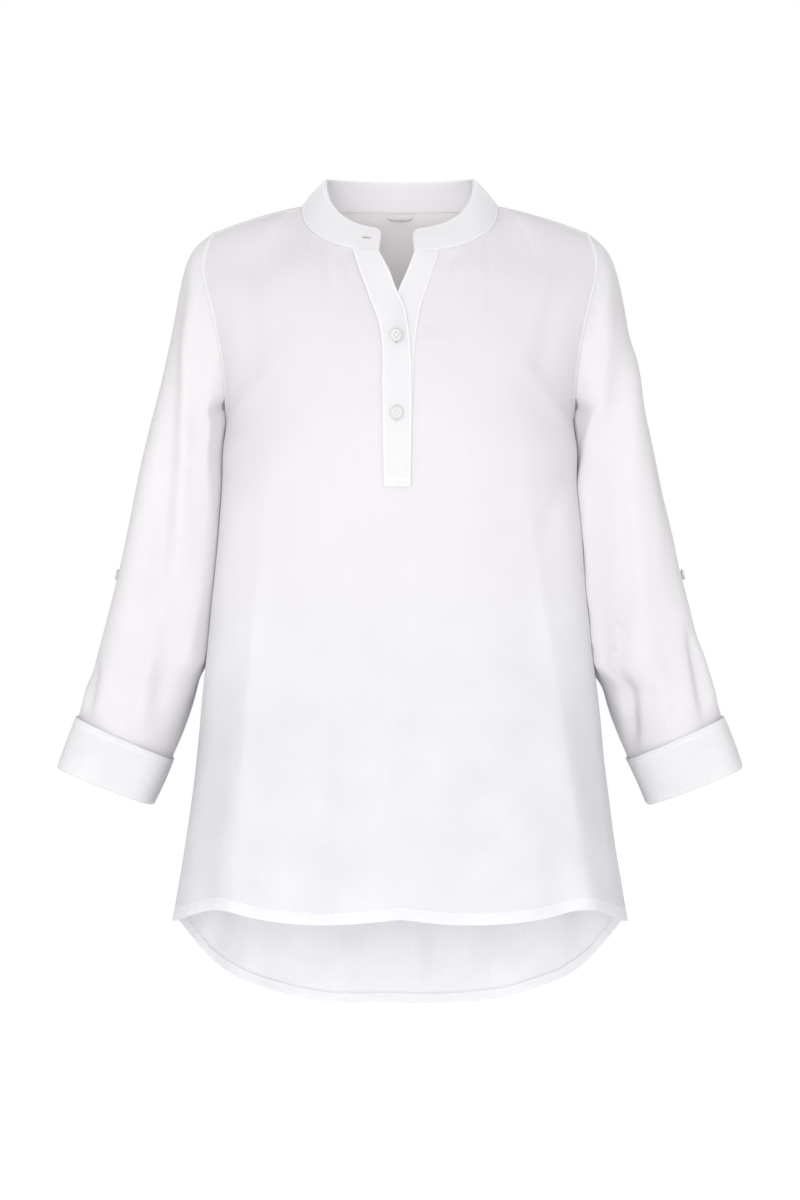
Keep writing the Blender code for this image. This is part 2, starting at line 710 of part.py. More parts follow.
def button(name, place, facing, radius):
    """A turned disc with a raised rim round a shallow dish."""
    profile = (
        (0.0, 0.0),
        (radius - 0.0005, 0.0),
        (radius, 0.0008),
        (radius, BUTTON_THICK - 0.0006),
        (radius - 0.0005, BUTTON_THICK),
        (radius - BUTTON_RIM, BUTTON_THICK - 0.0001),
        (radius - BUTTON_RIM - 0.0008, BUTTON_THICK - BUTTON_DISH),
        (0.0, BUTTON_THICK - BUTTON_DISH),
    )
    points = [(0.0, 0.0, profile[0][1])]
    for r, h in profile[1:-1]:
        for k in range(BUTTON_SIDES):
            turn = 2 * math.pi * k / BUTTON_SIDES
            points.append((r * math.cos(turn), r * math.sin(turn), h))
    points.append((0.0, 0.0, profile[-1][1]))
    rings = len(profile) - 2
    faces = []
    for k in range(BUTTON_SIDES):
        n = (k + 1) % BUTTON_SIDES
        faces.append((0, 1 + n, 1 + k))
        for i in range(rings - 1):
            a, b = 1 + i * BUTTON_SIDES, 1 + (i + 1) * BUTTON_SIDES
            faces.append((a + k, a + n, b + n, b + k))
        last = 1 + (rings - 1) * BUTTON_SIDES
        faces.append((last + k, last + n, len(points) - 1))
    made = add_object(name, points, faces, BUTTON_WHITE)
    turned = Vector(facing).to_track_quat("Z", "Y").to_matrix().to_4x4()
    made.matrix_world = Matrix.Translation(Vector(place)) @ turned


def placket_buttons():
    for number, (x, z) in enumerate(PLACKET_BUTTONS, 1):
        down = FRONT.down_at(z)
        across = FRONT.across_at(-1, down, x)
        out = FRONT.outward(-1, down, across)
        place = FRONT.point(-1, down, across) + out * (2 * LAY_GAP + STRIP_CLOTH)
        button(f"button_{number}", place, out, BUTTON_RADIUS)


def sleeve_button(side, name):
    """A small button on the sleeve's outer edge, where a roll-up tab would fasten."""
    rings = sleeve_sections()
    knots = np.arange(len(rings), dtype=float)
    here, below = through(knots, rings[:, 0], [SLEEVE_BUTTON_DOWN, SLEEVE_BUTTON_DOWN + 0.05])
    fall = unit(below - here)
    out = np.array([-fall[2], 0.0, fall[0]])
    place = here + out * LAY_GAP
    flip = np.array([side, 1.0, 1.0])
    button(name, place * flip, out * flip, SLEEVE_BUTTON_RADIUS)


def neck_label():
    """A short blank tape against the inside of the back, just under the collar's seam."""
    outer = []
    out = []
    for z in np.linspace(LABEL_TOP_Z, LABEL_LOW_Z, 3):
        down = BACK.down_at(z)
        xs = np.linspace(-LABEL_HALF_WIDTH, LABEL_HALF_WIDTH, 5)
        sides = [1 if x > 0 else -1 for x in xs]
        across = [BACK.across_at(side, down, x) for side, x in zip(sides, xs)]
        outer.append([BACK.point(side, down, a) for side, a in zip(sides, across)])
        out.append([BACK.outward(side, down, a) for side, a in zip(sides, across)])
    outer, out = np.array(outer)[:, ::-1], np.array(out)[:, ::-1]
    back = outer - out * (CLOTH + LABEL_GAP)
    front = back - out * CLOTH
    wall("neck_label", back, front, LABEL_WHITE)


def build():
    for old in list(bpy.data.objects):
        bpy.data.objects.remove(old, do_unlink=True)
    front_panel()
    back_panel()
    collar()
    placket()
    placket_buttons()
    neck_label()
    for side, name in ((1, "left"), (-1, "right")):
        sleeve(side, f"sleeve_{name}")
        cuff(side, f"cuff_{name}")
        sleeve_button(side, f"sleeve_button_{name}")


build()
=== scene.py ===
# %% [markdown]
# # A white blouse, sewn in Blender
#
# This lesson dresses a plain CAD blouse as a real one: a band collar, a half placket, long
# sleeves with turned-up cuffs, and a hem that dips at the back. The real piece is cut from a
# thin white cloth with a slub in its yarn. Each panel is cut flat, hemmed or folded at its free
# edges and sewn to its neighbours, and here each panel is one thin closed shell.
#
# The CAD solids give the form. The same tables of numbers are used again here, but read much
# more finely, so that there is room for creases, seams and stitches. A cloth simulation could
# drape the panels too, but its folds fall where they like, and these have to stay where they are.

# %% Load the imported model
import math

import bpy
import numpy as np
from mathutils import Matrix, Vector


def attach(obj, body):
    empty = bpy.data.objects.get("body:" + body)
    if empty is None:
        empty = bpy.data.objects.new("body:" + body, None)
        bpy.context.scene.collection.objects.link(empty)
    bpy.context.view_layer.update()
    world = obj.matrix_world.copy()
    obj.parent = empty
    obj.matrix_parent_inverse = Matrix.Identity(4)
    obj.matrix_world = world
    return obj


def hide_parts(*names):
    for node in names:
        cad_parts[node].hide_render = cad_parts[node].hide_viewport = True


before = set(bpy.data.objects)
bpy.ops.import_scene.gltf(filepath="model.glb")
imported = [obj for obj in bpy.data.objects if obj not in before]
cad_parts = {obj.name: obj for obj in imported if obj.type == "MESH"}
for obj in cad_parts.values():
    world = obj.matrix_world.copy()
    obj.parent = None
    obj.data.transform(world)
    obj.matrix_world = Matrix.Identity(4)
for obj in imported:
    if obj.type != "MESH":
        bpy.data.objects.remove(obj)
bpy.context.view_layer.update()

print(len(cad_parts), "CAD nodes, held by one body")

# %% [markdown]
# ## The pattern
#
# A dressmaker starts from measurements. These are the blouse's, in metres: +Z is up, the front
# faces -Y, and the wearer's left is +X. The origin is the middle of the neck opening. Each table
# holds a few sections, and the surface is a smooth curve through them.

# %% Measurements
CLOTH = 0.0006
NECK_HALF_WIDTH = 0.094
NECK_SIDE_Z = 0.002
NECK_FRONT_Y, NECK_FRONT_Z = -0.085, -0.050
NECK_BACK_Y, NECK_BACK_Z = 0.070, 0.005
NECK_ROUND = 0.87
NECK_SPREAD = 0.28
SHOULDER_TIP = (0.1786, 0.0, -0.0237)
SHOULDER_BOW = 0.0022
SHOULDER_FALL = 0.18
SHOULDER_SPREAD = 0.02
NECK_SIDE_SPREAD = 0.50
NECK_SIDE_SPREAD_END = 0.80
LEVEL_FROM, LEVEL_TO = 0.36, 0.56

# Outer seam on each side: depth, x, y, and the angle that a section has turned through
ARMHOLE_FRONT = (
    (0.055, 0.1865, -0.030, 42),
    (0.105, 0.1760, -0.050, 52),
    (0.150, 0.1675, -0.044, 64),
    (0.190, 0.1645, -0.022, 80),
)
ARMHOLE_BACK = (
    (0.055, 0.1855, 0.040, 42),
    (0.105, 0.1800, 0.056, 50),
    (0.150, 0.1705, 0.055, 58),
    (0.190, 0.1645, 0.036, 66),
)
SIDE_SEAM = (
    (0.215, 0.1650, 0.010, 97),
    (0.262, 0.1668, 0.010, 98),
    (0.300, 0.1705, 0.006, 97),
    (0.370, 0.1772, 0.002, 95),
    (0.450, 0.1855, 0.000, 92),
    (0.545, 0.1950, 0.000, 90),
    (0.620, 0.2060, 0.000, 90),
    (0.674, 0.2153, 0.000, 90),
)

# Centre line of each panel, one row for each row above: z, distance from the Y axis, and how
# square the section is, 2 being an ellipse
FRONT_CENTRE = (
    (-0.075, 0.098, 2.1),
    (-0.125, 0.115, 2.1),
    (-0.165, 0.123, 2.1),
    (-0.203, 0.127, 2.2),
    (-0.226, 0.128, 2.2),
    (-0.268, 0.127, 2.3),
    (-0.303, 0.126, 2.3),
    (-0.370, 0.125, 2.4),
    (-0.447, 0.127, 2.5),
    (-0.538, 0.131, 2.6),
    (-0.611, 0.135, 2.7),
    (-0.662, 0.137, 2.7),
)
BACK_CENTRE = (
    (-0.050, 0.088, 2.1),
    (-0.100, 0.098, 2.1),
    (-0.146, 0.104, 2.1),
    (-0.187, 0.107, 2.1),
    (-0.213, 0.108, 2.1),
    (-0.262, 0.106, 2.2),
    (-0.303, 0.104, 2.2),
    (-0.375, 0.103, 2.3),
    (-0.470, 0.108, 2.4),
    (-0.588, 0.120, 2.4),
    (-0.690, 0.131, 2.4),
    (-0.770, 0.137, 2.4),
)
FRONT_HEM = (
    (0.000, -0.6623),
    (0.055, -0.6673),
    (0.098, -0.6661),
    (0.136, -0.6611),
    (0.158, -0.6558),
    (0.190, -0.6616),
    (0.2153, -0.6740),
)
BACK_HEM = (
    (0.0000, -0.7697),
    (0.0708, -0.7687),
    (0.1039, -0.7629),
    (0.1323, -0.7536),
    (0.1616, -0.7398),
    (0.1830, -0.7226),
    (0.1980, -0.7030),
    (0.2065, -0.6900),
    (0.2153, -0.6740),
)

# Placket: z, then the outer and inner edge of the upper strip, on the wearer's right, and the
# inner and outer edge of the under strip, as x
PLACKET = (
    (-0.0496, -0.0444, -0.0194, 0.0130, 0.0370),
    (-0.0673, -0.0380, -0.0101, 0.0065, 0.0307),
    (-0.0867, -0.0309, -0.0028, -0.0018, 0.0243),
    (-0.1028, -0.0250, 0.0046, -0.0066, 0.0193),
    (-0.1159, -0.0202, 0.0073, -0.0090, 0.0170),
    (-0.1370, -0.0170, 0.0096, -0.0108, 0.0144),
    (-0.1793, -0.0165, 0.0110, -0.0111, 0.0124),
    (-0.2160, -0.0159, 0.0106, -0.0111, 0.0112),
    (-0.2681, -0.0149, 0.0101, -0.0112, 0.0103),
)
STRIP_TOP_DOWN = 0.0003
SLIT_BOTTOM_Z = -0.2640
STRIP_BOTTOM_Z = -0.2681
SLIT_RIGHT_OVERLAP = 0.0029
SLIT_LEFT_GAP = -0.0015

# Collar: how far it rises and leans in at the front, the side and the back
COLLAR_RISE = (0.0245, 0.0270, 0.0280)
COLLAR_LEAN = (0.0205, 0.0235, 0.0150)
COLLAR_CORNER = 0.009
COLLAR_ENDS = (-0.0194, 0.0130)
COLLAR_THICK = 0.0019
COLLAR_GAP = 0.0002
NECK_MIDDLE = (0.0, -0.010, 0.0)

# Sleeve sections: the top point's x and z, the lower point's x and z, the top point's y, half
# the depth, how far the lower point lies behind the top one, and how far the corner between
# the front and the lower point is filled out
SLEEVE = (
    (0.2000, -0.045, 0.1690, -0.222, 0.012, 0.056, 0.000, 0.000),
    (0.2130, -0.090, 0.1706, -0.240, 0.019, 0.057, 0.004, 0.003),
    (0.2255, -0.150, 0.1720, -0.264, 0.025, 0.056, 0.010, 0.008),
    (0.2400, -0.220, 0.1756, -0.303, 0.026, 0.053, 0.012, 0.012),
    (0.2535, -0.280, 0.1798, -0.346, 0.025, 0.050, 0.012, 0.013),
    (0.2665, -0.337, 0.1845, -0.390, 0.022, 0.047, 0.010, 0.014),
    (0.2810, -0.395, 0.1906, -0.4385, 0.019, 0.0445, 0.005, 0.012),
    (0.2935, -0.441, 0.2012, -0.481, 0.017, 0.0425, 0.000, 0.004),
)
CORNER_WAY = (-0.95, -0.30, 0.0)
CUFF_TOP = (0.3088, -0.482, 0.2157, -0.523, 0.015, 0.0420, 0.0, 0.0)
CUFF_FOLD = (0.3266, -0.5305, 0.2353, -0.5666, 0.013, 0.0400, 0.0, 0.0)
UNDER_CUFF = 0.00195
SLEEVE_END = 0.90
print("back", round(-BACK_HEM[0][1] * 1000), "mm long, hem", round(2000 * FRONT_HEM[-1][0]), "mm wide")

# %% [markdown]
# ## Creases
#
# Cloth never hangs as an even row of waves. Each crease has a place, a width and a height of its
# own: x and z where it starts, x and z where it ends, half its width, and how far it pushes the
# cloth out. A trough is a crease with a height below nothing. They could be sculpted by hand, but
# a row in a table can be read, moved and made shallower.

# %% Creases of each panel
# Broad folds: x and z where each one starts, its x at the hem, half its width, and its height
FRONT_FOLDS = (
    (-0.098, -0.300, -0.106, 0.045, 0.0060),
    (0.108, -0.300, 0.121, 0.045, 0.0060),
    (-0.012, -0.330, -0.036, 0.030, -0.0045),
    (-0.138, -0.410, -0.160, 0.017, 0.0050),
    (0.134, -0.370, 0.170, 0.018, 0.0050),
)
BACK_FOLDS = (
    (-0.020, -0.230, -0.028, 0.024, 0.0060),
    (0.045, -0.300, 0.062, 0.022, 0.0050),
    (-0.085, -0.280, -0.108, 0.026, 0.0070),
    (0.112, -0.260, 0.140, 0.026, 0.0060),
    (0.012, -0.360, 0.016, 0.018, -0.0040),
)
FRONT_CREASES = (
    (-0.050, -0.430, -0.058, -0.670, 0.0120, -0.0016),
    (0.036, -0.470, 0.052, -0.670, 0.0150, 0.0014),
    (-0.086, -0.020, -0.074, -0.110, 0.0035, 0.0014),
    (-0.078, -0.026, -0.064, -0.100, 0.0030, -0.0014),
    (-0.068, -0.034, -0.060, -0.130, 0.0040, 0.0012),
    (-0.056, -0.046, -0.044, -0.105, 0.0032, -0.0016),
    (-0.051, -0.050, -0.036, -0.125, 0.0034, 0.0018),
    (0.056, -0.040, 0.043, -0.085, 0.0036, -0.0014),
    (0.063, -0.036, 0.052, -0.115, 0.0040, 0.0012),
    (0.080, -0.022, 0.084, -0.110, 0.0050, -0.0010),
    (-0.030, -0.124, -0.012, -0.127, 0.0018, -0.0010),
    (0.016, -0.120, 0.044, -0.116, 0.0024, -0.0010),
    (0.016, -0.130, 0.040, -0.134, 0.0026, 0.0010),
    (-0.150, -0.060, -0.128, -0.190, 0.0110, -0.0018),
    (0.152, -0.060, 0.126, -0.180, 0.0110, -0.0020),
    (-0.160, -0.205, -0.118, -0.150, 0.0080, 0.0016),
    (0.160, -0.215, 0.112, -0.150, 0.0090, 0.0018),
    (0.162, -0.240, 0.128, -0.320, 0.0090, -0.0016),
)
FRONT_RIDGES = (
    (-0.122, -0.260, -0.158, -0.720, 0.0300, 0.0038),
    (0.114, -0.260, 0.182, -0.720, 0.0300, 0.0036),
    (-0.030, -0.480, -0.034, -0.700, 0.0260, 0.0016),
)
BACK_CREASES = (
    (-0.060, -0.030, -0.070, -0.240, 0.0120, 0.0020),
    (0.030, -0.040, 0.036, -0.300, 0.0110, 0.0022),
    (-0.020, -0.030, -0.034, -0.200, 0.0070, -0.0016),
    (0.074, -0.060, 0.080, -0.330, 0.0100, -0.0022),
    (-0.140, -0.100, -0.112, -0.260, 0.0110, 0.0022),
    (0.150, -0.110, 0.116, -0.250, 0.0100, 0.0024),
    (-0.126, -0.380, -0.160, -0.730, 0.0110, 0.0030),
    (-0.142, -0.400, -0.182, -0.715, 0.0090, -0.0036),
    (0.150, -0.390, 0.182, -0.715, 0.0095, -0.0036),
    (-0.056, -0.420, -0.066, -0.770, 0.0130, -0.0032),
    (0.090, -0.400, 0.102, -0.765, 0.0120, -0.0030),
    (0.030, -0.500, 0.034, -0.770, 0.0110, 0.0022),
    (-0.160, -0.210, -0.110, -0.330, 0.0080, -0.0018),
)
BACK_RIDGES = (
    (-0.118, -0.280, -0.150, -0.740, 0.0300, 0.0050),
    (0.124, -0.280, 0.160, -0.740, 0.0300, 0.0050),
)
RIGHT_SLEEVE_FRONT = (
    (-0.193, -0.053, -0.214, -0.371, 0.0080, 0.0042),
    (-0.207, -0.100, -0.226, -0.381, 0.0085, -0.0028),
    (-0.234, -0.190, -0.262, -0.420, 0.0130, 0.0022),
    (-0.205, -0.330, -0.232, -0.480, 0.0080, -0.0026),
    (-0.226, -0.370, -0.246, -0.500, 0.0090, 0.0024),
    (-0.284, -0.430, -0.296, -0.486, 0.0050, -0.0030),
    (-0.296, -0.440, -0.300, -0.480, 0.0040, 0.0022),
    (-0.192, -0.250, -0.226, -0.232, 0.0060, -0.0016),
)
LEFT_SLEEVE_FRONT = (
    (0.195, -0.065, 0.190, -0.200, 0.0085, 0.0026),
    (0.187, -0.190, 0.197, -0.385, 0.0070, 0.0034),
    (0.214, -0.085, 0.212, -0.220, 0.0140, -0.0008),
    (0.219, -0.130, 0.217, -0.245, 0.0090, 0.0030),
    (0.217, -0.240, 0.238, -0.440, 0.0100, 0.0030),
    (0.204, -0.250, 0.218, -0.420, 0.0060, -0.0030),
    (0.214, -0.370, 0.221, -0.520, 0.0050, -0.0056),
    (0.237, -0.180, 0.262, -0.400, 0.0080, -0.0020),
    (0.272, -0.400, 0.289, -0.490, 0.0050, -0.0044),
    (0.281, -0.410, 0.299, -0.480, 0.0050, 0.0026),
    (0.244, -0.430, 0.254, -0.505, 0.0080, 0.0020),
)
SLEEVE_BACK = (
    (0.198, -0.060, 0.206, -0.300, 0.0090, 0.0034),
    (0.214, -0.110, 0.226, -0.360, 0.0080, -0.0036),
    (0.229, -0.160, 0.252, -0.430, 0.0110, 0.0030),
    (0.204, -0.300, 0.232, -0.505, 0.0070, -0.0038),
    (0.222, -0.360, 0.248, -0.510, 0.0080, 0.0030),
    (0.262, -0.330, 0.284, -0.490, 0.0080, -0.0030),
    (0.184, -0.210, 0.222, -0.270, 0.0070, 0.0020),
)
print(len(FRONT_CREASES) + len(BACK_CREASES), "creases on the body")

# %% [markdown]
# ## Curves and surfaces
#
# A cubic curve through a few knots is the drafting spline of this pattern. `Body` reads the front
# or the back at any depth and at any place across, from -1 at the wearer's right side seam,
# through 0 at the centre, to 1 at the left. A formula is chosen over a modelled mesh because the
# placket, the buttons and the stitches can then all be laid on it exactly.

# %% Smooth curves
NEAR = 0.002
SOLVE_STEPS = 7
CREST = 0.0025


def knot_slopes(knots, values, start):
    steps = np.diff(knots).reshape([-1] + [1] * (values.ndim - 1))
    chords = np.diff(values, axis=0) / steps
    slopes = np.empty_like(values)
    slopes[1:-1] = (chords[:-1] * steps[1:] + chords[1:] * steps[:-1]) / (steps[1:] + steps[:-1])
    slopes[0] = 1.5 * chords[0] - 0.5 * slopes[1] if start is None else start
    slopes[-1] = 1.5 * chords[-1] - 0.5 * slopes[-2]
    return slopes


def through(knots, values, at, start=None, apart=False):
    """Values on a smooth curve through the knots. Apart, each place has a curve of its own."""
    knots, values = np.asarray(knots, float), np.asarray(values, float)
    slopes = knot_slopes(knots, values, start)
    at = np.atleast_1d(np.asarray(at, float))
    k = np.clip(np.searchsorted(knots, at, side="right") - 1, 0, len(knots) - 2)
    here = (k, np.arange(len(k))) if apart else (k,)
    after = (k + 1,) + here[1:]
    low, high = values[here], values[after]
    step = np.diff(knots)[k].reshape([-1] + [1] * (low.ndim - 1))
    u = (at - knots[k]).reshape(step.shape) / step
    return (
        low * (1 + 2 * u) * (1 - u) ** 2
        + slopes[here] * step * u * (1 - u) ** 2
        + high * u**2 * (3 - 2 * u)
        + slopes[after] * step * u**2 * (u - 1)
    )


def signed_power(value, power):
    return np.sign(value) * np.abs(value) ** power


def ease(low, high, value):
    """0 below low, 1 above high and smooth between."""
    share = np.clip((value - low) / (high - low), 0.0, 1.0)
    return share * share * (3 - 2 * share)


def unit(vectors):
    return vectors / np.linalg.norm(vectors, axis=-1, keepdims=True)


def solve(rising, target, guess, step):
    """Where smooth rising functions reach their targets, all at once."""
    target = np.asarray(target, float)
    place = np.full(target.shape, float(guess))
    step = np.full(target.shape, float(step))
    value = rising(place) - target
    for _ in range(SOLVE_STEPS):
        after = rising(place + step) - target
        change = np.where(np.abs(after - value) < 1e-12, 1.0, after - value)
        place, value, step = place + step, after, -after * step / change
    return place


between = through([0, 1, 2], [0, 1, 4], 1.5)[0]
print("a curve through 0, 1 and 4 passes", round(float(between), 3), "on its way")


# %% The body's surface
class Body:
    """The front or the back of the body, without its fine creases."""

    def __init__(self, facing, armhole, centre, hem, folds):
        self.facing = facing
        self.edge = np.array(armhole + SIDE_SEAM)
        self.centre = np.array(centre)
        self.hem = np.array(hem)
        self.folds = folds
        self.armhole_rows = len(armhole)
        self.knots = np.concatenate([[0.0], self.edge[:, 0]])
        self.underarm = SIDE_SEAM[0][0]
        self.bottom = SIDE_SEAM[-1][0]

    def neckline(self, across):
        """The top edge: round the neck, then out along the shoulder seam."""
        turn = np.pi * np.minimum(across, 0.5)
        if self.facing < 0:
            cosine = np.abs(np.cos(turn)) ** NECK_ROUND
            y, z = NECK_FRONT_Y * cosine, NECK_SIDE_Z + (NECK_FRONT_Z - NECK_SIDE_Z) * cosine
        else:
            cosine = np.cos(turn)
            y, z = NECK_BACK_Y * cosine, NECK_SIDE_Z + (NECK_BACK_Z - NECK_SIDE_Z) * cosine
        x = NECK_HALF_WIDTH * signed_power(np.sin(turn), NECK_ROUND)
        out = np.clip(2 * across - 1, 0.0, 1.0)
        side = np.array([NECK_HALF_WIDTH, 0.0, NECK_SIDE_Z])
        z = z + 4 * SHOULDER_BOW * out * (1 - out)
        return np.stack([x, y, z], axis=-1) + out[..., None] * (np.array(SHOULDER_TIP) - side)

    def section(self, row, across):
        """A level section of the panel, from the centre line to the side."""
        depth_down, x_edge, y_edge, turn = self.edge[row]
        z_mid, depth, square = self.centre[row]
        if self.facing > 0 and row >= self.armhole_rows:
            turn = 180 - turn
        power = 2 / square
        end = math.radians(turn)
        spread = NECK_SPREAD * max(0.0, 1 - depth_down / self.underarm) ** 2
        angle = end * (across + 4 * spread * across * (1 - across))
        sine = signed_power(np.sin(angle), power) / signed_power(math.sin(end), power)
        fall = (1 - signed_power(np.cos(angle), power)) / (1 - signed_power(math.cos(end), power))
        x = x_edge * sine
        y = self.facing * (depth - (depth - self.facing * y_edge) * fall)
        if row == len(self.edge) - 1:
            z = through(self.hem[:, 0], self.hem[:, 1], np.clip(x, 0.0, self.hem[-1, 0]))
        else:
            z = z_mid + (-depth_down - z_mid) * across**2
        return np.stack([x, y, z], axis=-1)

    def seam(self, down):
        """The outer edge: the armhole down to the underarm, then the side seam."""
        rows = self.armhole_rows + 1
        edge = np.hstack([self.edge[:, 1:3], -self.edge[:, :1]])
        armhole = through(self.knots[: rows + 1], np.vstack([SHOULDER_TIP, edge[:rows]]), down)
        side = through(self.edge[rows - 1 :, 0], edge[rows - 1 :], down)
        return np.where((down < self.underarm)[..., None], armhole, side)

    def rings(self, across):
        sections = [self.section(row, across) for row in range(len(self.edge))]
        return np.stack([self.neckline(across)] + sections)

    def roll(self, rings, across):
        """How the surface sets off from its top edge, level over the shoulder seam."""
        chord = (rings[1] - rings[0]) / self.knots[1]
        near_neck = 1 - ease(0.5, NECK_SIDE_SPREAD_END, across)
        sideways = SHOULDER_SPREAD + NECK_SIDE_SPREAD * near_neck
        away = np.full_like(across, self.facing)
        level = np.stack([sideways, away, np.full_like(across, -SHOULDER_FALL)], axis=-1)
        level = unit(level) * np.linalg.norm(chord, axis=-1, keepdims=True)
        share = ease(LEVEL_FROM, LEVEL_TO, across)[..., None]
        return chord * (1 - share) + level * share

    def plain(self, down, across):
        """The surface without folds, on the +X half; both lists are flat."""
        rings = self.rings(across)
        whole = through(self.knots, rings, down, self.roll(rings, across), apart=True)
        side = np.ones(1)
        ends = self.rings(side)
        plain_edge = through(self.knots, ends, down, self.roll(ends, side))[:, 0]
        return whole + (across**4)[:, None] * (self.seam(down) - plain_edge)

    def fold(self, x, z):
        out = np.zeros_like(x)
        for x_top, z_top, x_low, width, height in self.folds:
            way = (z_top - z) / (z_top - self.centre[-1, 0])
            middle = x_top + (x_low - x_top) * way
            out += height * ease(0.0, 0.75, way) * np.exp(-(((x - middle) / width) ** 2))
        return out

    def at(self, down, place):
        """Points on the outer face."""
        down, place = np.broadcast_arrays(np.asarray(down, float), np.asarray(place, float))
        shape = down.shape
        side = np.where(place < 0, -1.0, 1.0).ravel()
        down, across = down.ravel(), np.abs(place).ravel()
        here = self.plain(down, across)
        along = self.plain(down, np.minimum(across + NEAR, 1.0))
        along = along - self.plain(down, np.maximum(across - NEAR, 0.0))
        out = np.stack([-along[:, 1], along[:, 0], np.zeros(len(down))], axis=-1) * self.facing
        push = self.fold(side * here[:, 0], here[:, 2]) * (1 - across**6)
        moved = here + unit(out) * push[:, None]
        moved[:, 0] *= side
        return moved.reshape(shape + (3,))

    def out(self, down, place):
        """Unit normals of the outer face."""
        down, place = np.broadcast_arrays(np.asarray(down, float), np.asarray(place, float))
        low, high = np.maximum(down - NEAR, 0.0), np.minimum(down + NEAR, self.bottom)
        right, left = np.maximum(place - NEAR, -1.0), np.minimum(place + NEAR, 1.0)
        fall = self.at(high, place) - self.at(low, place)
        reach = self.at(down, left) - self.at(down, right)
        return unit(np.cross(fall, reach) * -self.facing)

    def place_at(self, down, x):
        """The place across where the surface has this x."""
        return solve(lambda p: self.at(down, p)[..., 0], x, 0.02, 0.02)

    def down_at(self, z):
        """The depth at which the centre line has this z."""
        return solve(lambda d: -self.at(d, 0.02)[..., 2], -np.asarray(z, float), 0.1, 0.02)


FRONT = Body(-1, ARMHOLE_FRONT, FRONT_CENTRE, FRONT_HEM, FRONT_FOLDS)
BACK = Body(1, ARMHOLE_BACK, BACK_CENTRE, BACK_HEM, BACK_FOLDS)


def placket_edge(column, z):
    """x of one edge of the placket's strips, by the column of its table."""
    table = np.array(PLACKET)[::-1]
    z = np.asarray(z, float)
    inside = np.clip(z, table[0, 0], table[-1, 0]).ravel()
    return through(table[:, 0], table[:, column], inside).reshape(z.shape)


def creased(table, x, z, sharp=False):
    """How far the creases push the cloth out; each fades at its ends and widens downwards. A
    sharp one has a crest like a pressed fold."""
    out = np.zeros_like(x)
    for x_a, z_a, x_b, z_b, width, height in table:
        run_x, run_z = x_b - x_a, z_b - z_a
        length = math.hypot(run_x, run_z)
        along = ((x - x_a) * run_x + (z - z_a) * run_z) / length**2
        beside = ((x - x_a) * run_z - (z - z_a) * run_x) / length
        fade = ease(-0.15, 0.3, along) * (1 - ease(0.75, 1.2, along))
        wide = width * (0.85 + 0.4 * np.clip(along, 0, 1))
        if sharp:
            tent = 1 - (np.hypot(beside, CREST) - CREST) / wide
            out += height * fade * np.clip(tent, 0, 1) ** 2
        else:
            out += height * fade * np.exp(-((beside / wide) ** 2))
    return out


print("underarm at", np.round(FRONT.seam(np.array([0.215]))[0], 4))

# %% [markdown]
# ## Shells
#
# A sheet of cloth is an outer face, an inner face a little further in, and rims that join them.
# Blender's Solidify modifier could thicken a single face, but here the hem is thicker than the
# rest, so both faces are made. UV coordinates hold metres along the cloth's grain, so the weave
# follows each piece's cut.

# %% Mesh builders
LAYERS = "layers"
GRAIN = "grain"
SHARP = 55


def linked(name, data):
    """A new object in the scene's collection."""
    made = bpy.data.objects.new(name, data)
    bpy.context.collection.objects.link(made)
    return made


def add_mesh(name, points, faces, look, corners=None, layers=None):
    """A mesh piece. corners holds a UV for each face corner, layers a whiteness for each point."""
    mesh = bpy.data.meshes.new(name)
    mesh.from_pydata(np.asarray(points, float).tolist(), [], [list(map(int, f)) for f in faces])
    if corners is not None:
        mesh.uv_layers.new(name=GRAIN).data.foreach_set("uv", np.asarray(corners, float).ravel())
    if layers is not None:
        white = np.repeat(np.asarray(layers, float).ravel()[:, None], 4, axis=1)
        white[:, 3] = 1.0
        attribute = mesh.color_attributes.new(LAYERS, "FLOAT_COLOR", "POINT")
        attribute.data.foreach_set("color", white.ravel())
    mesh.update()
    mesh.shade_smooth()
    mesh.set_sharp_from_angle(angle=math.radians(SHARP))
    mesh.materials.append(look)
    return linked(name, mesh)


def cells(i, low, j, right, width):
    """Quads between rows i and low and columns j and right of a grid stored row by row."""
    return np.stack([i * width + j, low * width + j, low * width + right, i * width + right], axis=1)


def shell(name, outer, inner, look, grain, layers, closed=False, missing=None):
    """A closed wall between two grids of points, with the missing cells left open."""
    rows, width = outer.shape[:2]
    kept = np.ones((rows - 1, width if closed else width - 1), bool)
    if missing is not None:
        kept &= ~missing
    i, j = np.nonzero(kept)
    front = cells(i, i + 1, j, (j + 1) % width, width)
    inside = rows * width
    edges = np.concatenate([front[:, [k, (k + 1) % 4]] for k in range(4)])
    key = edges[:, 0] * inside + edges[:, 1]
    back_key = edges[:, 1] * inside + edges[:, 0]
    rim = edges[~np.isin(key, back_key)]
    rims = np.stack([rim[:, 1], rim[:, 0], rim[:, 0] + inside, rim[:, 1] + inside], axis=1)
    faces = np.concatenate([front, front[:, ::-1] + inside, rims])
    at = np.stack([grain[i, j], grain[i + 1, j], grain[i + 1, j + 1], grain[i, j + 1]], axis=1)
    flat = grain[:, :width].reshape(-1, 2)
    corners = np.concatenate([at, at[:, ::-1], flat[rims % inside]])
    points = np.concatenate([outer.reshape(-1, 3), inner.reshape(-1, 3)])
    white = np.concatenate([layers.ravel(), layers.ravel()])
    used, faces = np.unique(faces, return_inverse=True)
    return add_mesh(name, points[used], faces.reshape(-1, 4), look, corners, white[used])


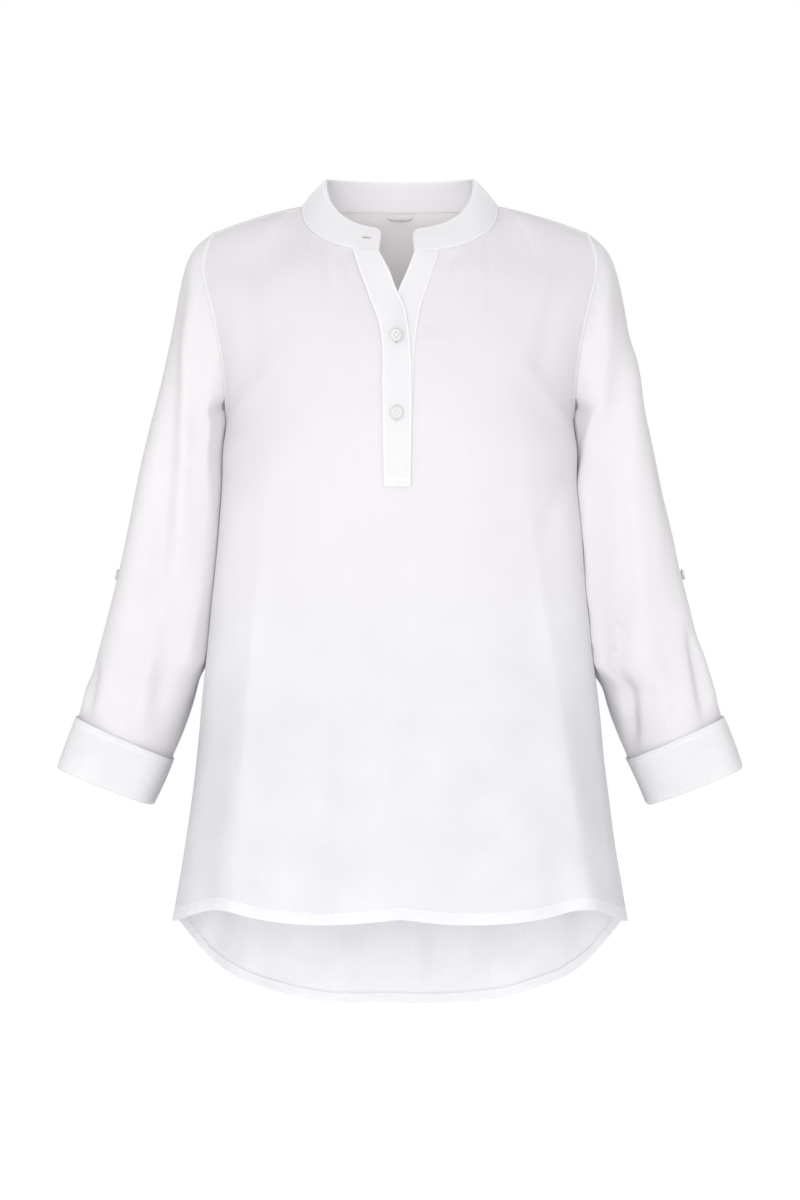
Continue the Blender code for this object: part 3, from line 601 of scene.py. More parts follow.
def tube(name, rings, look, grain, layers=1.0):
    """A closed solid through rings of points, with a flat cap on each end."""
    count, width = rings.shape[:2]
    i, j = (index.ravel() for index in np.indices((count - 1, width)))
    walls = cells(i, i + 1, j, (j + 1) % width, width)
    flat = grain.reshape(-1, 2)
    p = rings.reshape(-1, 3)[walls] - rings.mean(axis=(0, 1))
    volume = np.sum(p[:, 0] * (np.cross(p[:, 1], p[:, 2]) + np.cross(p[:, 2], p[:, 3])))
    caps = [np.arange(width), np.arange(width)[::-1] + (count - 1) * width]
    if volume < 0:
        walls, caps = walls[:, ::-1], [cap[::-1] for cap in caps]
    corners = np.concatenate([flat[walls].reshape(-1, 2)] + [flat[cap] for cap in caps])
    white = np.full(len(flat), layers)
    return add_mesh(name, rings.reshape(-1, 3), list(walls) + caps, look, corners, white)


def round_ring(centre, side, over, radius, sides):
    """Points round a centre, in the plane of side and over."""
    turns = 2 * math.pi * np.arange(sides) / sides
    return centre + radius * (np.outer(np.cos(turns), side) + np.outer(np.sin(turns), over))


def add_rings(points, faces, rings):
    """Adds a closed solid through rings of points to the lists of a mesh."""
    first, sides = len(points), len(rings[0])
    last = first + (len(rings) - 1) * sides
    for ring in rings:
        points.extend(ring)
    for low in range(first, last, sides):
        for k in range(sides):
            n = (k + 1) % sides
            faces.append((low + k, low + n, low + sides + n, low + sides + k))
    faces.append([first + k for k in reversed(range(sides))])
    faces.append([last + k for k in range(sides)])


print("edges sharper than", SHARP, "degrees stay sharp")

def grid_normals(grid, closed=False):
    """Unit normals of a grid whose rows run down and whose columns run to the right."""
    fall = np.gradient(grid, axis=0)
    if closed:
        reach = np.roll(grid, -1, axis=1) - np.roll(grid, 1, axis=1)
    else:
        reach = np.gradient(grid, axis=1)
    return unit(np.cross(fall, reach))


def lengths(grid, axis):
    """Distance along the grid's rows or columns from their start."""
    steps = np.linalg.norm(np.diff(grid, axis=axis), axis=-1)
    start = np.zeros_like(np.take(steps, [0], axis=axis))
    return np.concatenate([start, np.cumsum(steps, axis=axis)], axis=axis)


# %% [markdown]
# ## Stitches
#
# A row of stitches is many small beads of thread that dip into the cloth at their ends. A picture
# of stitches would look flat from the side, so they are real geometry here, laid along a line on
# the finished surface.

# %% Stitch rows
STITCH = 0.0026
STITCH_GAP = 0.0006
THREAD = 0.00022
# Share of the stitch's length, thickness and lift, both in thread radii
BEAD_SHAPE = (
    (0.0, 0.25, -0.9),
    (0.18, 0.85, 0.1),
    (0.5, 1.0, 0.45),
    (0.82, 0.85, 0.1),
    (1.0, 0.25, -0.9),
)
BEAD_SIDES = 5


def at_places(at, run, line):
    """A line's points at some distances along it."""
    return np.stack([np.interp(at, run, line[:, k]) for k in range(3)], axis=1)


def run_of(line):
    """Distance of each point along a line from its start."""
    return np.concatenate([[0.0], np.cumsum(np.linalg.norm(np.diff(line, axis=0), axis=1))])


def add_bead(points, faces, start, end, normal):
    along = unit(end - start)
    side = unit(np.cross(along, normal))
    length = np.linalg.norm(end - start) - STITCH_GAP
    rings = []
    for share, thick, lift in BEAD_SHAPE:
        centre = start + along * (STITCH_GAP / 2 + share * length) + normal * THREAD * lift
        rings.append(round_ring(centre, side, normal, THREAD * thick, BEAD_SIDES))
    add_rings(points, faces, rings)


def stitches(name, lines, look):
    """Beads of thread along lines, each given as its points and the cloth's normals there."""
    points, faces = [], []
    for line, normals in lines:
        run = run_of(line)
        count = max(2, int(round(run[-1] / (STITCH + STITCH_GAP))))
        at = np.linspace(0, run[-1], count + 1)
        line, normals = at_places(at, run, line), unit(at_places(at, run, normals))
        for start, end, normal in zip(line[:-1], line[1:], normals[:-1]):
            add_bead(points, faces, start, end, normal)
    return add_mesh(name, points, faces, look)


print("about", round(1 / (STITCH + STITCH_GAP)), "stitches in a metre")


# %% [markdown]
# ## Materials
#
# The cloth is a thin plain weave with slubs, where the yarn swells. Noise drawn out along the
# grain gives both, and a Bump node makes them catch the light: threads as meshes would be far too
# many. Where two or more layers lie on each other, the cloth lets less light through and looks
# whiter. A small class lets the shader maths read as sums.

# %% Shader maths
class Wire:
    """An output of a shader node that can be added, multiplied and so on."""

    def __init__(self, tree, socket):
        self.tree, self.socket = tree, socket

    def maths(self, operation, first, second):
        both = {0: first, 1: second}
        return add_node(self.tree, "ShaderNodeMath", {"operation": operation}, slots=both)

    def __add__(self, other):
        return self.maths("ADD", self, other)

    def __mul__(self, other):
        return self.maths("MULTIPLY", self, other)

    def __sub__(self, other):
        return self.maths("SUBTRACT", self, other)

    def __rsub__(self, other):
        return self.maths("SUBTRACT", other, self)

    __radd__, __rmul__ = __add__, __mul__

    def smooth(self, low, high):
        """0 below low, 1 above high, smooth between."""
        settings = {"interpolation_type": "SMOOTHSTEP"}
        return add_node(
            self.tree, "ShaderNodeMapRange", settings, "Result", Value=self, From_Min=low, From_Max=high
        )


def plug(tree, socket, value):
    if isinstance(value, Wire):
        tree.links.new(value.socket, socket)
    else:
        socket.default_value = value


def add_node(tree, kind, settings=(), output=0, slots=(), **values):
    """A node with its settings, then its sockets, by number in slots or by name."""
    made = tree.nodes.new(kind)
    for key, value in dict(settings).items():
        setattr(made, key, value)
    for key, value in dict(slots).items():
        plug(tree, made.inputs[key], value)
    for key, value in values.items():
        plug(tree, made.inputs[key.replace("_", " ")], value)
    return Wire(tree, made.outputs[output])


def mixed(tree, share, low, high):
    """A colour between two colours."""
    return add_node(tree, "ShaderNodeMix", {"data_type": "RGBA"}, 2, {0: share, 6: low, 7: high})


def scaled(tree, colour, factor):
    """A colour made darker or lighter."""
    return add_node(tree, "ShaderNodeVectorMath", {"operation": "SCALE"}, 0, {0: colour}, Scale=factor)


def noise(tree, place, scale, detail=2.0):
    return add_node(tree, "ShaderNodeTexNoise", Vector=place, Scale=scale, Detail=detail)


def yarn(tree, grain, often):
    """Noise drawn out along the cloth: how often it changes in a metre across and along it."""
    slots = {0: grain, 1: (*often, 1.0)}
    return noise(tree, add_node(tree, "ShaderNodeVectorMath", {"operation": "MULTIPLY"}, 0, slots), 1.0)


def place_of(tree, axis=None):
    """Where the surface lies, whole or along one axis."""
    place = add_node(tree, "ShaderNodeNewGeometry", output="Position")
    return add_node(tree, "ShaderNodeSeparateXYZ", output=axis, Vector=place) if axis else place


# %% Cloth
SLUB_UPRIGHT, SLUB_LEVEL = (430.0, 62.0), (85.0, 520.0)
WARP, WEFT = (1100.0, 40.0), (40.0, 1100.0)
SHEER = 0.35
PASSED = (0.88, 0.87, 0.88, 1.0)
SLUB_TONE = 0.06
BASE_TONE = 0.985
WEAVE_DEPTH = 0.00025
# Heights, in metres, between which a tone sets in; HIP and WAIST bound the painted light on the body's
# sides
HEM_TO_CHEST = (-0.62, -0.20)
SKIRT = (-0.50, -0.34)
CHEST = (-0.26, -0.12)
SHOULDERS = (-0.09, -0.03)
HIP, WAIST = (-0.50, -0.40), (-0.30, -0.24)


def start_material(name):
    made = bpy.data.materials.new(name)
    made.use_nodes = True
    return made, made.node_tree, made.node_tree.nodes["Principled BSDF"]


def placed_shade(tree, painted_side_light):
    """How much lighter the cloth is at each place: chest and shoulders, with painted light on the sides
    and the collar's back.
    """
    height, sideways, behind = (place_of(tree, axis) for axis in "ZXY")
    # Painted light: the body's sides are lightened between the hip and the waist, where they turn away
    # into shade
    painted_light_sides = (sideways * sideways).smooth(0.0120, 0.0230)
    painted_light_sides = painted_light_sides * height.smooth(*HIP) * (1.0 - height.smooth(*WAIST))
    shade = height.smooth(*SHOULDERS) * 0.045 - height.smooth(*CHEST) * 0.035
    # Painted light also lightens the collar's back, whose inside lies in shade
    return shade + painted_light_sides * painted_side_light + behind.smooth(-0.03, 0.03) * height.smooth(-0.010, 0.0) * 0.14


def cloth(name, high, low, double, slubs, painted_side_light=0.0):
    """A slubbed plain weave, from the tone high at the shoulders to low at the hem."""
    made, tree, shader = start_material(name)
    grain = add_node(tree, "ShaderNodeUVMap", {"uv_map": GRAIN})
    height = place_of(tree, "Z")
    layers = add_node(tree, "ShaderNodeAttribute", {"attribute_name": LAYERS}, "Fac")
    upright = yarn(tree, grain, SLUB_UPRIGHT).smooth(0.60, 0.78)
    level = yarn(tree, grain, SLUB_LEVEL).smooth(0.63, 0.80)
    threads, cross = yarn(tree, grain, WARP), yarn(tree, grain, WEFT)
    cloudy = noise(tree, place_of(tree), 24.0, 4.0)
    skirt = 1.0 - height.smooth(*SKIRT)
    slubbed = (upright - level * 0.5) * (skirt * 0.75 + 0.25) * slubs
    tone = mixed(tree, layers, mixed(tree, height.smooth(*HEM_TO_CHEST), low, high), double)
    shade = (threads - 0.5) * 0.05 + (cross - 0.5) * 0.03 + (cloudy - 0.5) * (skirt * 0.12 + 0.04)
    shade = shade + placed_shade(tree, painted_side_light) + slubbed * SLUB_TONE + BASE_TONE
    plug(tree, shader.inputs["Base Color"], scaled(tree, tone, shade))
    relief = threads * 0.3 + cross * 0.2 + upright * 0.5 + level * 0.4
    bump = add_node(tree, "ShaderNodeBump", Strength=0.5, Distance=WEAVE_DEPTH, Height=relief)
    plug(tree, shader.inputs["Normal"], bump)
    plug(tree, shader.inputs["Roughness"], threads * 0.12 + 0.80)
    let_through(tree, shader)
    return made


def let_through(tree, shader):
    """Sheer cloth also passes some of the light that falls on its far side."""
    passed = add_node(tree, "ShaderNodeBsdfTranslucent", Color=PASSED)
    slots = {0: SHEER, 1: Wire(tree, shader.outputs["BSDF"]), 2: passed}
    both = add_node(tree, "ShaderNodeMixShader", slots=slots)
    plug(tree, tree.nodes["Material Output"].inputs["Surface"], both)


def rgb(red, green, blue):
    return (red, green, blue, 1.0)


# The front's cloth ends with the strength of the painted light on its sides
SINGLE = cloth(
    "cloth_single", rgb(0.715, 0.695, 0.715), rgb(0.66, 0.665, 0.692), rgb(0.80, 0.79, 0.81), 1.0, 0.080
)
# The back's copy of the cloth holds painted shade at the neck and painted light towards the hem, where
# its inside shows
BACK_CLOTH = cloth(
    "cloth_back", rgb(0.685, 0.665, 0.675), rgb(0.77, 0.77, 0.80), rgb(0.76, 0.75, 0.77), 1.0
)
DOUBLE = cloth(
    "cloth_double", rgb(0.60, 0.59, 0.60), rgb(0.75, 0.75, 0.76), rgb(0.75, 0.74, 0.755), 0.4
)
# The sleeves' copy of the cloth is painted lighter than the front's, lifting the shade on them
SLEEVE_CLOTH = cloth(
    "cloth_sleeve", rgb(0.755, 0.74, 0.755), rgb(0.72, 0.705, 0.725), rgb(0.80, 0.79, 0.81), 0.3
)


# %% Thread, buttons and dark edges
def mottled(name, dark, light, scale, roughness, spread=0.0, detail=2.0):
    """A plain finish whose tone, and roughness where it has a spread, wander with a noise."""
    made, tree, shader = start_material(name)
    cloudy = noise(tree, place_of(tree), scale, detail)
    plug(tree, shader.inputs["Base Color"], mixed(tree, cloudy, dark, light))
    plug(tree, shader.inputs["Roughness"], cloudy * spread + roughness if spread else roughness)
    return made


THREAD_WHITE = mottled("thread_white", rgb(0.80, 0.80, 0.81), rgb(0.93, 0.93, 0.93), 2600.0, 0.7)
BUTTON_PLASTIC = mottled(
    "button_plastic", rgb(0.45, 0.455, 0.46), rgb(0.53, 0.53, 0.53), 240.0, 0.50, 0.12, 3.0
)
CUT_SHADE = mottled("cut_shade", rgb(0.17, 0.15, 0.15), rgb(0.26, 0.24, 0.24), 900.0, 0.9)
# edge_shade is painted shade, for the line along the label's lower fold
EDGE_SHADE = mottled("edge_shade", rgb(0.42, 0.40, 0.40), rgb(0.50, 0.48, 0.48), 900.0, 0.9)
print(len(bpy.data.materials), "materials in the file")

# %% [markdown]
# ## The front and the back
#
# The two panels meet at the shoulders and the sides, and end in a narrow double-turned hem. Each
# is a grid. Rows and columns crowd together at the seams and the hem, where the cloth steps up
# over its own turnings, and lie about 3 to 5 mm apart elsewhere. An even grid fine enough for the
# hem would be many times larger.

# %% Rows and columns
SEAM_STEPS = (0.0, 0.0008, 0.0036, 0.0046, 0.0052, 0.0062, 0.0090)
HEM_STEPS = (0.0140, 0.0115, 0.0104, 0.0098, 0.0090, 0.0050, 0.0012, 0.0)
UPPER_ROWS = 50
SLIT_ROWS = 14
SKIRT_ROWS = 96
NECK_COLUMNS = 34
SHOULDER_COLUMNS = 40
SLIT_COLUMNS = 8
HEM = 0.0100
DENSE = 241
# The place across where the neckline meets the shoulder seam
NECK_SIDE = 0.5


def nominal_rows():
    slit = float(FRONT.down_at(SLIT_BOTTOM_Z))
    upper = np.linspace(SEAM_STEPS[-1], FRONT.underarm, UPPER_ROWS + 1)[1:]
    middle = np.linspace(FRONT.underarm, slit, SLIT_ROWS + 1)[1:]
    skirt = np.linspace(slit, FRONT.bottom, SKIRT_ROWS + 1)[1:]
    return np.concatenate([SEAM_STEPS, upper, middle, skirt])


def half_columns(body, rows, inner):
    """Places from the inner edge to the side, with the last few at fixed distances from it."""
    dense = np.linspace(NECK_SIDE, 1.0, DENSE)
    from_neck = lengths(body.at(rows[:, None], dense), 1)
    out = []
    for first, run in zip(inner, from_neck):
        even = np.linspace(0.0, run[-1] - SEAM_STEPS[-1], SHOULDER_COLUMNS + 1)
        near_edge = run[-1] - np.array(SEAM_STEPS[-2::-1])
        beyond = np.interp(np.concatenate([even, near_edge]), run, dense)
        out.append(np.concatenate([np.linspace(first, NECK_SIDE, NECK_COLUMNS + 1)[:-1], beyond]))
    return np.array(out)


def slit_places(side, rows):
    """The front panel's inner edge on one side, as a place across."""
    z = FRONT.at(rows, 0.05 * side)[:, 2]
    column, past = (1, SLIT_RIGHT_OVERLAP) if side < 0 else (4, SLIT_LEFT_GAP)
    return np.abs(FRONT.place_at(rows, placket_edge(column, z) + past))


def hem_rows(body, rows, places):
    """Depths for each point, with the last rows at fixed distances above the hem."""
    down = np.repeat(rows[:, None], places.shape[1], axis=1)
    ends = places[-1]
    last = body.at(body.bottom, ends) - body.at(body.bottom - HEM, ends)
    scale = HEM / np.linalg.norm(last, axis=-1)
    count = len(HEM_STEPS)
    down[-count:] = body.bottom - np.array(HEM_STEPS)[:, None] * scale
    start = len(rows) - SKIRT_ROWS - 1
    share = np.linspace(0, 1, SKIRT_ROWS - count + 2)[:, None]
    top = down[start]
    down[start : len(rows) - count + 1] = top + (down[-count] - top) * share
    return down


print(len(nominal_rows()), "rows down each panel")

# %% Relief of a panel
SEAM_RAISE, SEAM_WIDTH = 0.0007, 0.0037
SHOULDER_RAISE, SHOULDER_WIDTH = 0.0005, 0.0055
SEAM_ROLL, SEAM_STEP = 0.0008, 0.0010
HEM_GROOVE, GROOVE_WIDTH = 0.0003, 0.0006
HEM_THICK = 0.0017
HEM_TURN = (0.0098, 0.0104)
NECK_SEAM_MASK = 0.012
PUCKER, PUCKER_STEP = 0.00022, 0.0135
HEM_WHITENESS = {"front_panel": 0.45, "back_panel": 0.2}


def band(distance, width, height):
    """A raised edge that rolls over at its seam and steps down at its width."""
    rolled = 0.35 + 0.65 * ease(0.0, SEAM_ROLL, distance)
    return height * rolled * (1 - ease(width, width + SEAM_STEP, distance))


def beside_strip(points):
    """0 on the placket's strips and 1 clear of them."""
    x, z = points[..., 0], points[..., 2]
    clear = np.where(x < 0, placket_edge(1, z) - x, x - placket_edge(4, z))
    return np.maximum(ease(0.0, 0.006, clear), ease(0.0, 0.03, STRIP_BOTTOM_Z - z))


def ripple(points):
    """A slight unevenness all over, so that no stretch is perfectly smooth."""
    x, y, z = points[..., 0], points[..., 1], points[..., 2]
    wide = np.sin(31 * x + 12 * z + 1.3) * np.sin(17 * z - 9 * x + 8 * y)
    fine = np.sin(83 * x - 21 * z + 2.1) * np.sin(47 * z + 33 * y + 0.6)
    return 0.0011 * wide + 0.0005 * fine


def seams(facing, edge, top, places, above):
    """The raised seams, which lie on the back at the armholes and on the front elsewhere."""
    push = np.where(above, band(edge, SEAM_WIDTH, SEAM_RAISE), 0.0)
    if facing < 0:
        side = band(edge, SHOULDER_WIDTH, SHOULDER_RAISE)
        shoulder = band(top, SHOULDER_WIDTH, SHOULDER_RAISE)
        push = push + np.where(above, 0.0, side) + np.where(np.abs(places) >= NECK_SIDE, shoulder, 0.0)
    return push


def relief(grid, creases, ridges, edge, top, slit):
    """Creases and unevenness, which fade towards the seams and the placket."""
    x, z = grid[..., 0], grid[..., 2]
    push = creased(creases, x, z) + ripple(grid) + creased(ridges, x, z, sharp=True)
    push = push * ease(0.002, 0.030, edge) * ease(0.0, NECK_SEAM_MASK, top)
    return push * beside_strip(grid) if slit else push


def hem_relief(from_end, hem):
    """The pucker of the hem's cloth, and the groove that its stitches pull."""
    pucker = np.sin(from_end * 2 * np.pi / PUCKER_STEP + 1.5 * np.sin(from_end * 31))
    groove = np.exp(-(((hem - HEM) / GROOVE_WIDTH) ** 2))
    return PUCKER * pucker * (1 - ease(0.010, 0.016, hem)) - HEM_GROOVE * groove


print("a seam's edge stands", round(SEAM_RAISE * 1000, 2), "mm proud")


# %% Panels
def panel_columns(body, rows, inner_edges, slit):
    """Places of every point, and the number of columns before the slit."""
    right, left = (half_columns(body, rows, inner_edges(side, rows)) for side in (-1, 1))
    share = np.linspace(0, 1, SLIT_COLUMNS + 1)[1:-1]
    centre = -right[:, :1] + (left[:, :1] + right[:, :1]) * share
    if not slit:
        centre, right = centre[:, :0], right[:, 1:]
    return np.concatenate([-right[:, ::-1], centre, left], axis=1), right.shape[1] - 1


def panel_grain(body, grid, from_end, places):
    """The cloth's own grain: from the centre line, and down it."""
    middle = np.abs(places).argmin(axis=1)[:, None]
    beside = from_end - np.take_along_axis(from_end, middle, axis=1)
    level = grid[..., 2] - 0.5 * body.facing * grid[..., 1] * ease(-0.14, -0.04, grid[..., 2])
    return np.stack([beside, level], axis=-1)


def panel(name, body, creases, ridges, inner_edges, slit):
    rows = nominal_rows()
    places, first = panel_columns(body, rows, inner_edges, slit)
    grid = body.at(hem_rows(body, rows, places), places)
    if body.facing > 0:
        grid, places = grid[:, ::-1], places[:, ::-1]
    from_end, top = lengths(grid, 1), lengths(grid, 0)
    edge = np.minimum(from_end, from_end[:, -1:] - from_end)
    hem = top[-1:] - top
    above = (rows < body.underarm - 1e-6)[:, None]
    push = relief(grid, creases, ridges, edge, top, slit) + hem_relief(from_end, hem)
    push = push + seams(body.facing, edge, top, places, above)
    outer = grid + grid_normals(grid) * push[..., None]
    normals = grid_normals(outer)
    turned = 1 - ease(*HEM_TURN, hem)
    thick = CLOTH + (HEM_THICK - CLOTH) * turned
    seam_layers = np.where(above, 1 - ease(0.0038, 0.0046, edge), 0.0)
    layers = np.maximum(turned * HEM_WHITENESS[name], seam_layers)
    missing = np.zeros((len(rows) - 1, places.shape[1] - 1), bool)
    if slit:
        slit_rows = len(SEAM_STEPS) + UPPER_ROWS + SLIT_ROWS - 1
        missing[:slit_rows, first : first + SLIT_COLUMNS] = True
    inner, weave = outer - normals * thick[..., None], SINGLE if slit else BACK_CLOTH
    grain = panel_grain(body, grid, from_end, places)
    made = shell(name, outer, inner, weave, grain, layers, missing=missing)
    return made, outer, normals, places


front_piece, front_grid, front_out, front_places = panel(
    "front_panel", FRONT, FRONT_CREASES, FRONT_RIDGES, slit_places, True
)
back_piece, back_grid, back_out, _ = panel(
    "back_panel", BACK, BACK_CREASES, BACK_RIDGES, lambda side, rows: np.zeros(len(rows)), False
)
print(len(front_piece.data.polygons), "faces in front,", len(back_piece.data.polygons), "behind")

# %% Stitches on the panels
def row_line(grid, out, row, first=0, last=None):
    return grid[row, first:last], out[row, first:last]


def column_line(grid, out, column, first=0, last=None):
    return grid[first:last, column], out[first:last, column]


HEM_ROW = -6
EDGE_STITCH = 4
UNDERARM_ROW = len(SEAM_STEPS) + UPPER_ROWS
beyond_neck = np.nonzero(front_places[0] >= NECK_SIDE)[0][0]
before_neck = np.nonzero(front_places[0] <= -NECK_SIDE)[0][-1] + 1
front_lines = [
    row_line(front_grid, front_out, HEM_ROW),
    row_line(front_grid, front_out, EDGE_STITCH, EDGE_STITCH, before_neck),
    row_line(front_grid, front_out, EDGE_STITCH, beyond_neck, -EDGE_STITCH),
    column_line(front_grid, front_out, EDGE_STITCH, UNDERARM_ROW, HEM_ROW),
    column_line(front_grid, front_out, -1 - EDGE_STITCH, UNDERARM_ROW, HEM_ROW),
]
front_stitches = stitches("stitches_front", front_lines, THREAD_WHITE)
back_stitches = stitches("stitches_back", [row_line(back_grid, back_out, HEM_ROW)], THREAD_WHITE)
print(len(front_stitches.data.polygons), "faces of thread on the front")

# %% [markdown]
# ## The collar and the placket
#
# The collar is a band of two layers. It is lofted along the neckline: a rounded section is
# carried from one end to the other, and thins away at the ends. The placket's two strips are
# folded cloth laid on the front. Each is the front's own surface moved out, so it follows the
# chest. A bevelled flat box would need bending to fit, and would still float in places.

# %% Collar
COLLAR_STEP = 0.0025
END_STEPS = (0.0, 0.0002, 0.0006, 0.0012, 0.0022)
FACE_POINTS = 9
END_ROUND = 0.0010
BELLY, WAVE = 0.0009, 0.0004


def collar_base():
    """The seam line from the wearer's right end, round the back, to the left end."""
    tips = [float(FRONT.place_at(np.array([0.0]), np.array([x]))[0]) for x in COLLAR_ENDS]
    right = np.linspace(tips[0], -NECK_SIDE, 120)
    back = np.linspace(-NECK_SIDE, NECK_SIDE, 240)[1:]
    left = np.linspace(NECK_SIDE, tips[1], 120)[1:]
    parts = ((FRONT, right), (BACK, back), (FRONT, left))
    seam = np.concatenate([body.at(0.0, places) for body, places in parts])
    out = np.concatenate([body.out(0.0, places) for body, places in parts])
    turn = np.concatenate([2 * np.abs(right), 2 - 2 * np.abs(back), 2 * np.abs(left)])
    return seam, out, turn


def facing_neck(vectors, seam):
    inside = np.sum(vectors * (np.array(NECK_MIDDLE) - seam), axis=-1)
    return unit(vectors) * np.sign(inside)[:, None]


def rounded_section(height, thick, arc=7):
    """A band's section: heights and depths up the outer face, over, and down the inner one."""
    r = thick / 2
    rise = np.linspace(0.0, 1.0, FACE_POINTS)[:, None] * (height - r)
    turn = np.linspace(0, np.pi, arc)[1:-1, None]
    high = np.concatenate([rise, height - r + r * np.sin(turn), rise[::-1]])
    deep = np.concatenate([0 * rise, r - r * np.cos(turn) + 0 * height, 0 * rise + thick])
    return high, deep


def collar_section(at, total, height):
    """Heights and depths of the band, lower and thinner towards its rounded ends."""
    from_end = np.minimum(at, total - at)
    missing = 1 - np.clip(from_end / COLLAR_CORNER, 0.0, 1.0)
    share = 1 - COLLAR_CORNER / height * (1 - np.sqrt(1 - missing**2))
    high, deep = rounded_section(height * share, COLLAR_THICK)
    up_share = np.clip(high / height, 0, 1)
    near_end = 1 - np.clip(from_end / END_ROUND, 0, 1)
    thin = np.sqrt(np.clip(1 - near_end**2, 0.04, 1))
    deep = COLLAR_THICK / 2 + (deep - COLLAR_THICK / 2) * thin
    return high, deep + WAVE * np.sin(at * 47 + 1.0) * up_share - BELLY * np.sin(np.pi * up_share)


def collar():
    seam, out, turn = collar_base()
    run = run_of(seam)
    total = run[-1]
    even = np.linspace(END_STEPS[-1], total - END_STEPS[-1], int(total / COLLAR_STEP))
    at = np.concatenate([END_STEPS[:-1], even, total - np.array(END_STEPS[-2::-1])])
    seam, out, turn = at_places(at, run, seam), unit(at_places(at, run, out)), np.interp(at, run, turn)
    rise, lean = (through([0.0, 1.0, 2.0], way, turn) for way in (COLLAR_RISE, COLLAR_LEAN))
    tangent = unit(np.gradient(seam, axis=0))
    level_in = facing_neck(np.cross(tangent, [0.0, 0.0, 1.0]), seam)
    up = unit(level_in * lean[:, None] + np.array([0, 0, 1.0]) * rise[:, None])
    inward = facing_neck(np.cross(tangent, up), seam)
    base = seam + facing_neck(np.cross(tangent, out), seam) * COLLAR_GAP
    high, deep = collar_section(at, total, np.hypot(rise, lean))
    rings = base + up * high[..., None] + inward * deep[..., None]
    grain = np.stack([np.broadcast_to(at, high.shape), high], axis=-1)
    made = tube("collar_band", rings.transpose(1, 0, 2), DOUBLE, grain.transpose(1, 0, 2))
    return made, rings, inward, tangent


collar_piece, collar_rings, collar_in, collar_along = collar()


def collar_line(height, first, last):
    """A line on the collar's outer face, a share of its height up."""
    row = height * (FACE_POINTS - 1)
    low = int(row)
    points = collar_rings[low] * (low + 1 - row) + collar_rings[low + 1] * (row - low)
    return points[first:last], -collar_in[first:last]


collar_lines = [collar_line(0.07, 3, -3), collar_line(0.93, 5, -5)]
collar_stitches = stitches("stitches_collar", collar_lines, THREAD_WHITE)
print(len(collar_piece.data.polygons), "faces on the collar")

# %% Placket strips
STRIP_EDGE = 0.0007
STRIP_SIDE_STEPS = (0.0, 0.00010, 0.00035, 0.0007, 0.0016, 0.0026)
STRIP_ROWS = 84
UPPER_LEVELS = (0.0021, 0.0008)
UNDER_LEVELS = (0.0006, -0.0008)
STRIP_GROOVE, STRIP_WAVE = 0.00022, 0.00030


def strip_rows(z_foot):
    foot, top = float(FRONT.down_at(z_foot)), STRIP_TOP_DOWN
    even = np.linspace(top + 0.002, foot - 0.002, STRIP_ROWS)
    return np.concatenate([[top, top + 0.0005], even, [foot - 0.0008, foot - 0.0002, foot]])


def rounding(distance, least):
    """How full an edge is at a distance from it: 1 past its rounded part."""
    return np.sqrt(np.clip(1 - (1 - np.clip(distance / STRIP_EDGE, 0, 1)) ** 2, least, 1))


def strip_offsets(low, high):
    """Distances across the strip from its first edge, a row for each level."""
    sides = np.array(STRIP_SIDE_STEPS)
    width = (high - low)[:, None]
    middle = sides[-1] + (width - 2 * sides[-1]) * np.linspace(0.0, 1.0, 9)[1:-1]
    return np.concatenate([np.tile(sides, (len(low), 1)), middle, width - sides[::-1]], axis=1)


def strip(name, edges, levels, z_foot):
    """A folded strip with rounded edges over the front's surface."""
    rows = strip_rows(z_foot)
    z = FRONT.at(rows, 0.02)[:, 2]
    low, high = placket_edge(edges[0], z), placket_edge(edges[1], z)
    offsets = strip_offsets(low, high)
    x = low[:, None] + offsets
    places = FRONT.place_at(np.repeat(rows[:, None], x.shape[1], axis=1), x)
    surface, out = FRONT.at(rows[:, None], places), FRONT.out(rows[:, None], places)
    near = np.minimum(offsets, offsets[:, ::-1])
    bulge = rounding(near, 0) * rounding((rows[-1] - rows)[:, None], 0.06)
    centre, half = (levels[0] + levels[1]) / 2, (levels[0] - levels[1]) / 2
    groove = STRIP_GROOVE * np.exp(-(((near - 0.0021) / 0.0005) ** 2))
    wave = np.sin(rows * 71 + 0.7)[:, None] * np.sin(np.pi * offsets / offsets[:, -1:])
    outer = surface + out * (centre + half * bulge - groove + STRIP_WAVE * wave)[..., None]
    inner_face = surface + out * (centre - half * bulge)[..., None]
    rings = np.concatenate([outer, inner_face[:, -2:0:-1]], axis=1)
    across = np.concatenate([offsets, offsets[:, -2:0:-1]], axis=1)
    grain = np.stack([across, np.broadcast_to(-rows[:, None], across.shape)], axis=-1)
    return tube(name, rings, DOUBLE, grain), outer, out


def strip_stitches(name, grid, out, cross_rows):
    """Topstitching down both sides, and across at some rows."""
    left, right = 4, grid.shape[1] - 5
    lines = [(grid[1:-3, column], out[1:-3, column]) for column in (left, right)]
    lines += [(grid[row, left : right + 1], out[row, left : right + 1]) for row in cross_rows]
    return stitches(name, lines, THREAD_WHITE)


upper_piece, *upper_face = strip("placket_upper_strip", (1, 2), UPPER_LEVELS, STRIP_BOTTOM_Z)
under_foot = SLIT_BOTTOM_Z + 0.0006
under_piece, *under_face = strip("placket_under_strip", (3, 4), UNDER_LEVELS, under_foot)
upper_stitches = strip_stitches("stitches_placket_upper", *upper_face, (-3, -6))
under_stitches = strip_stitches("stitches_placket_under", *under_face, ())
print("two strips, with", len(upper_stitches.data.polygons), "faces of thread on the upper one")

# %% [markdown]
# ## Buttonholes and buttons
#
# A buttonhole is a cut with close stitches all round it. The button is turned plastic: a rim, a
# shallow dish and four holes with thread through them. The holes are cut with a Boolean, which is
# quicker than building faces round each one by hand and gives clean edges.

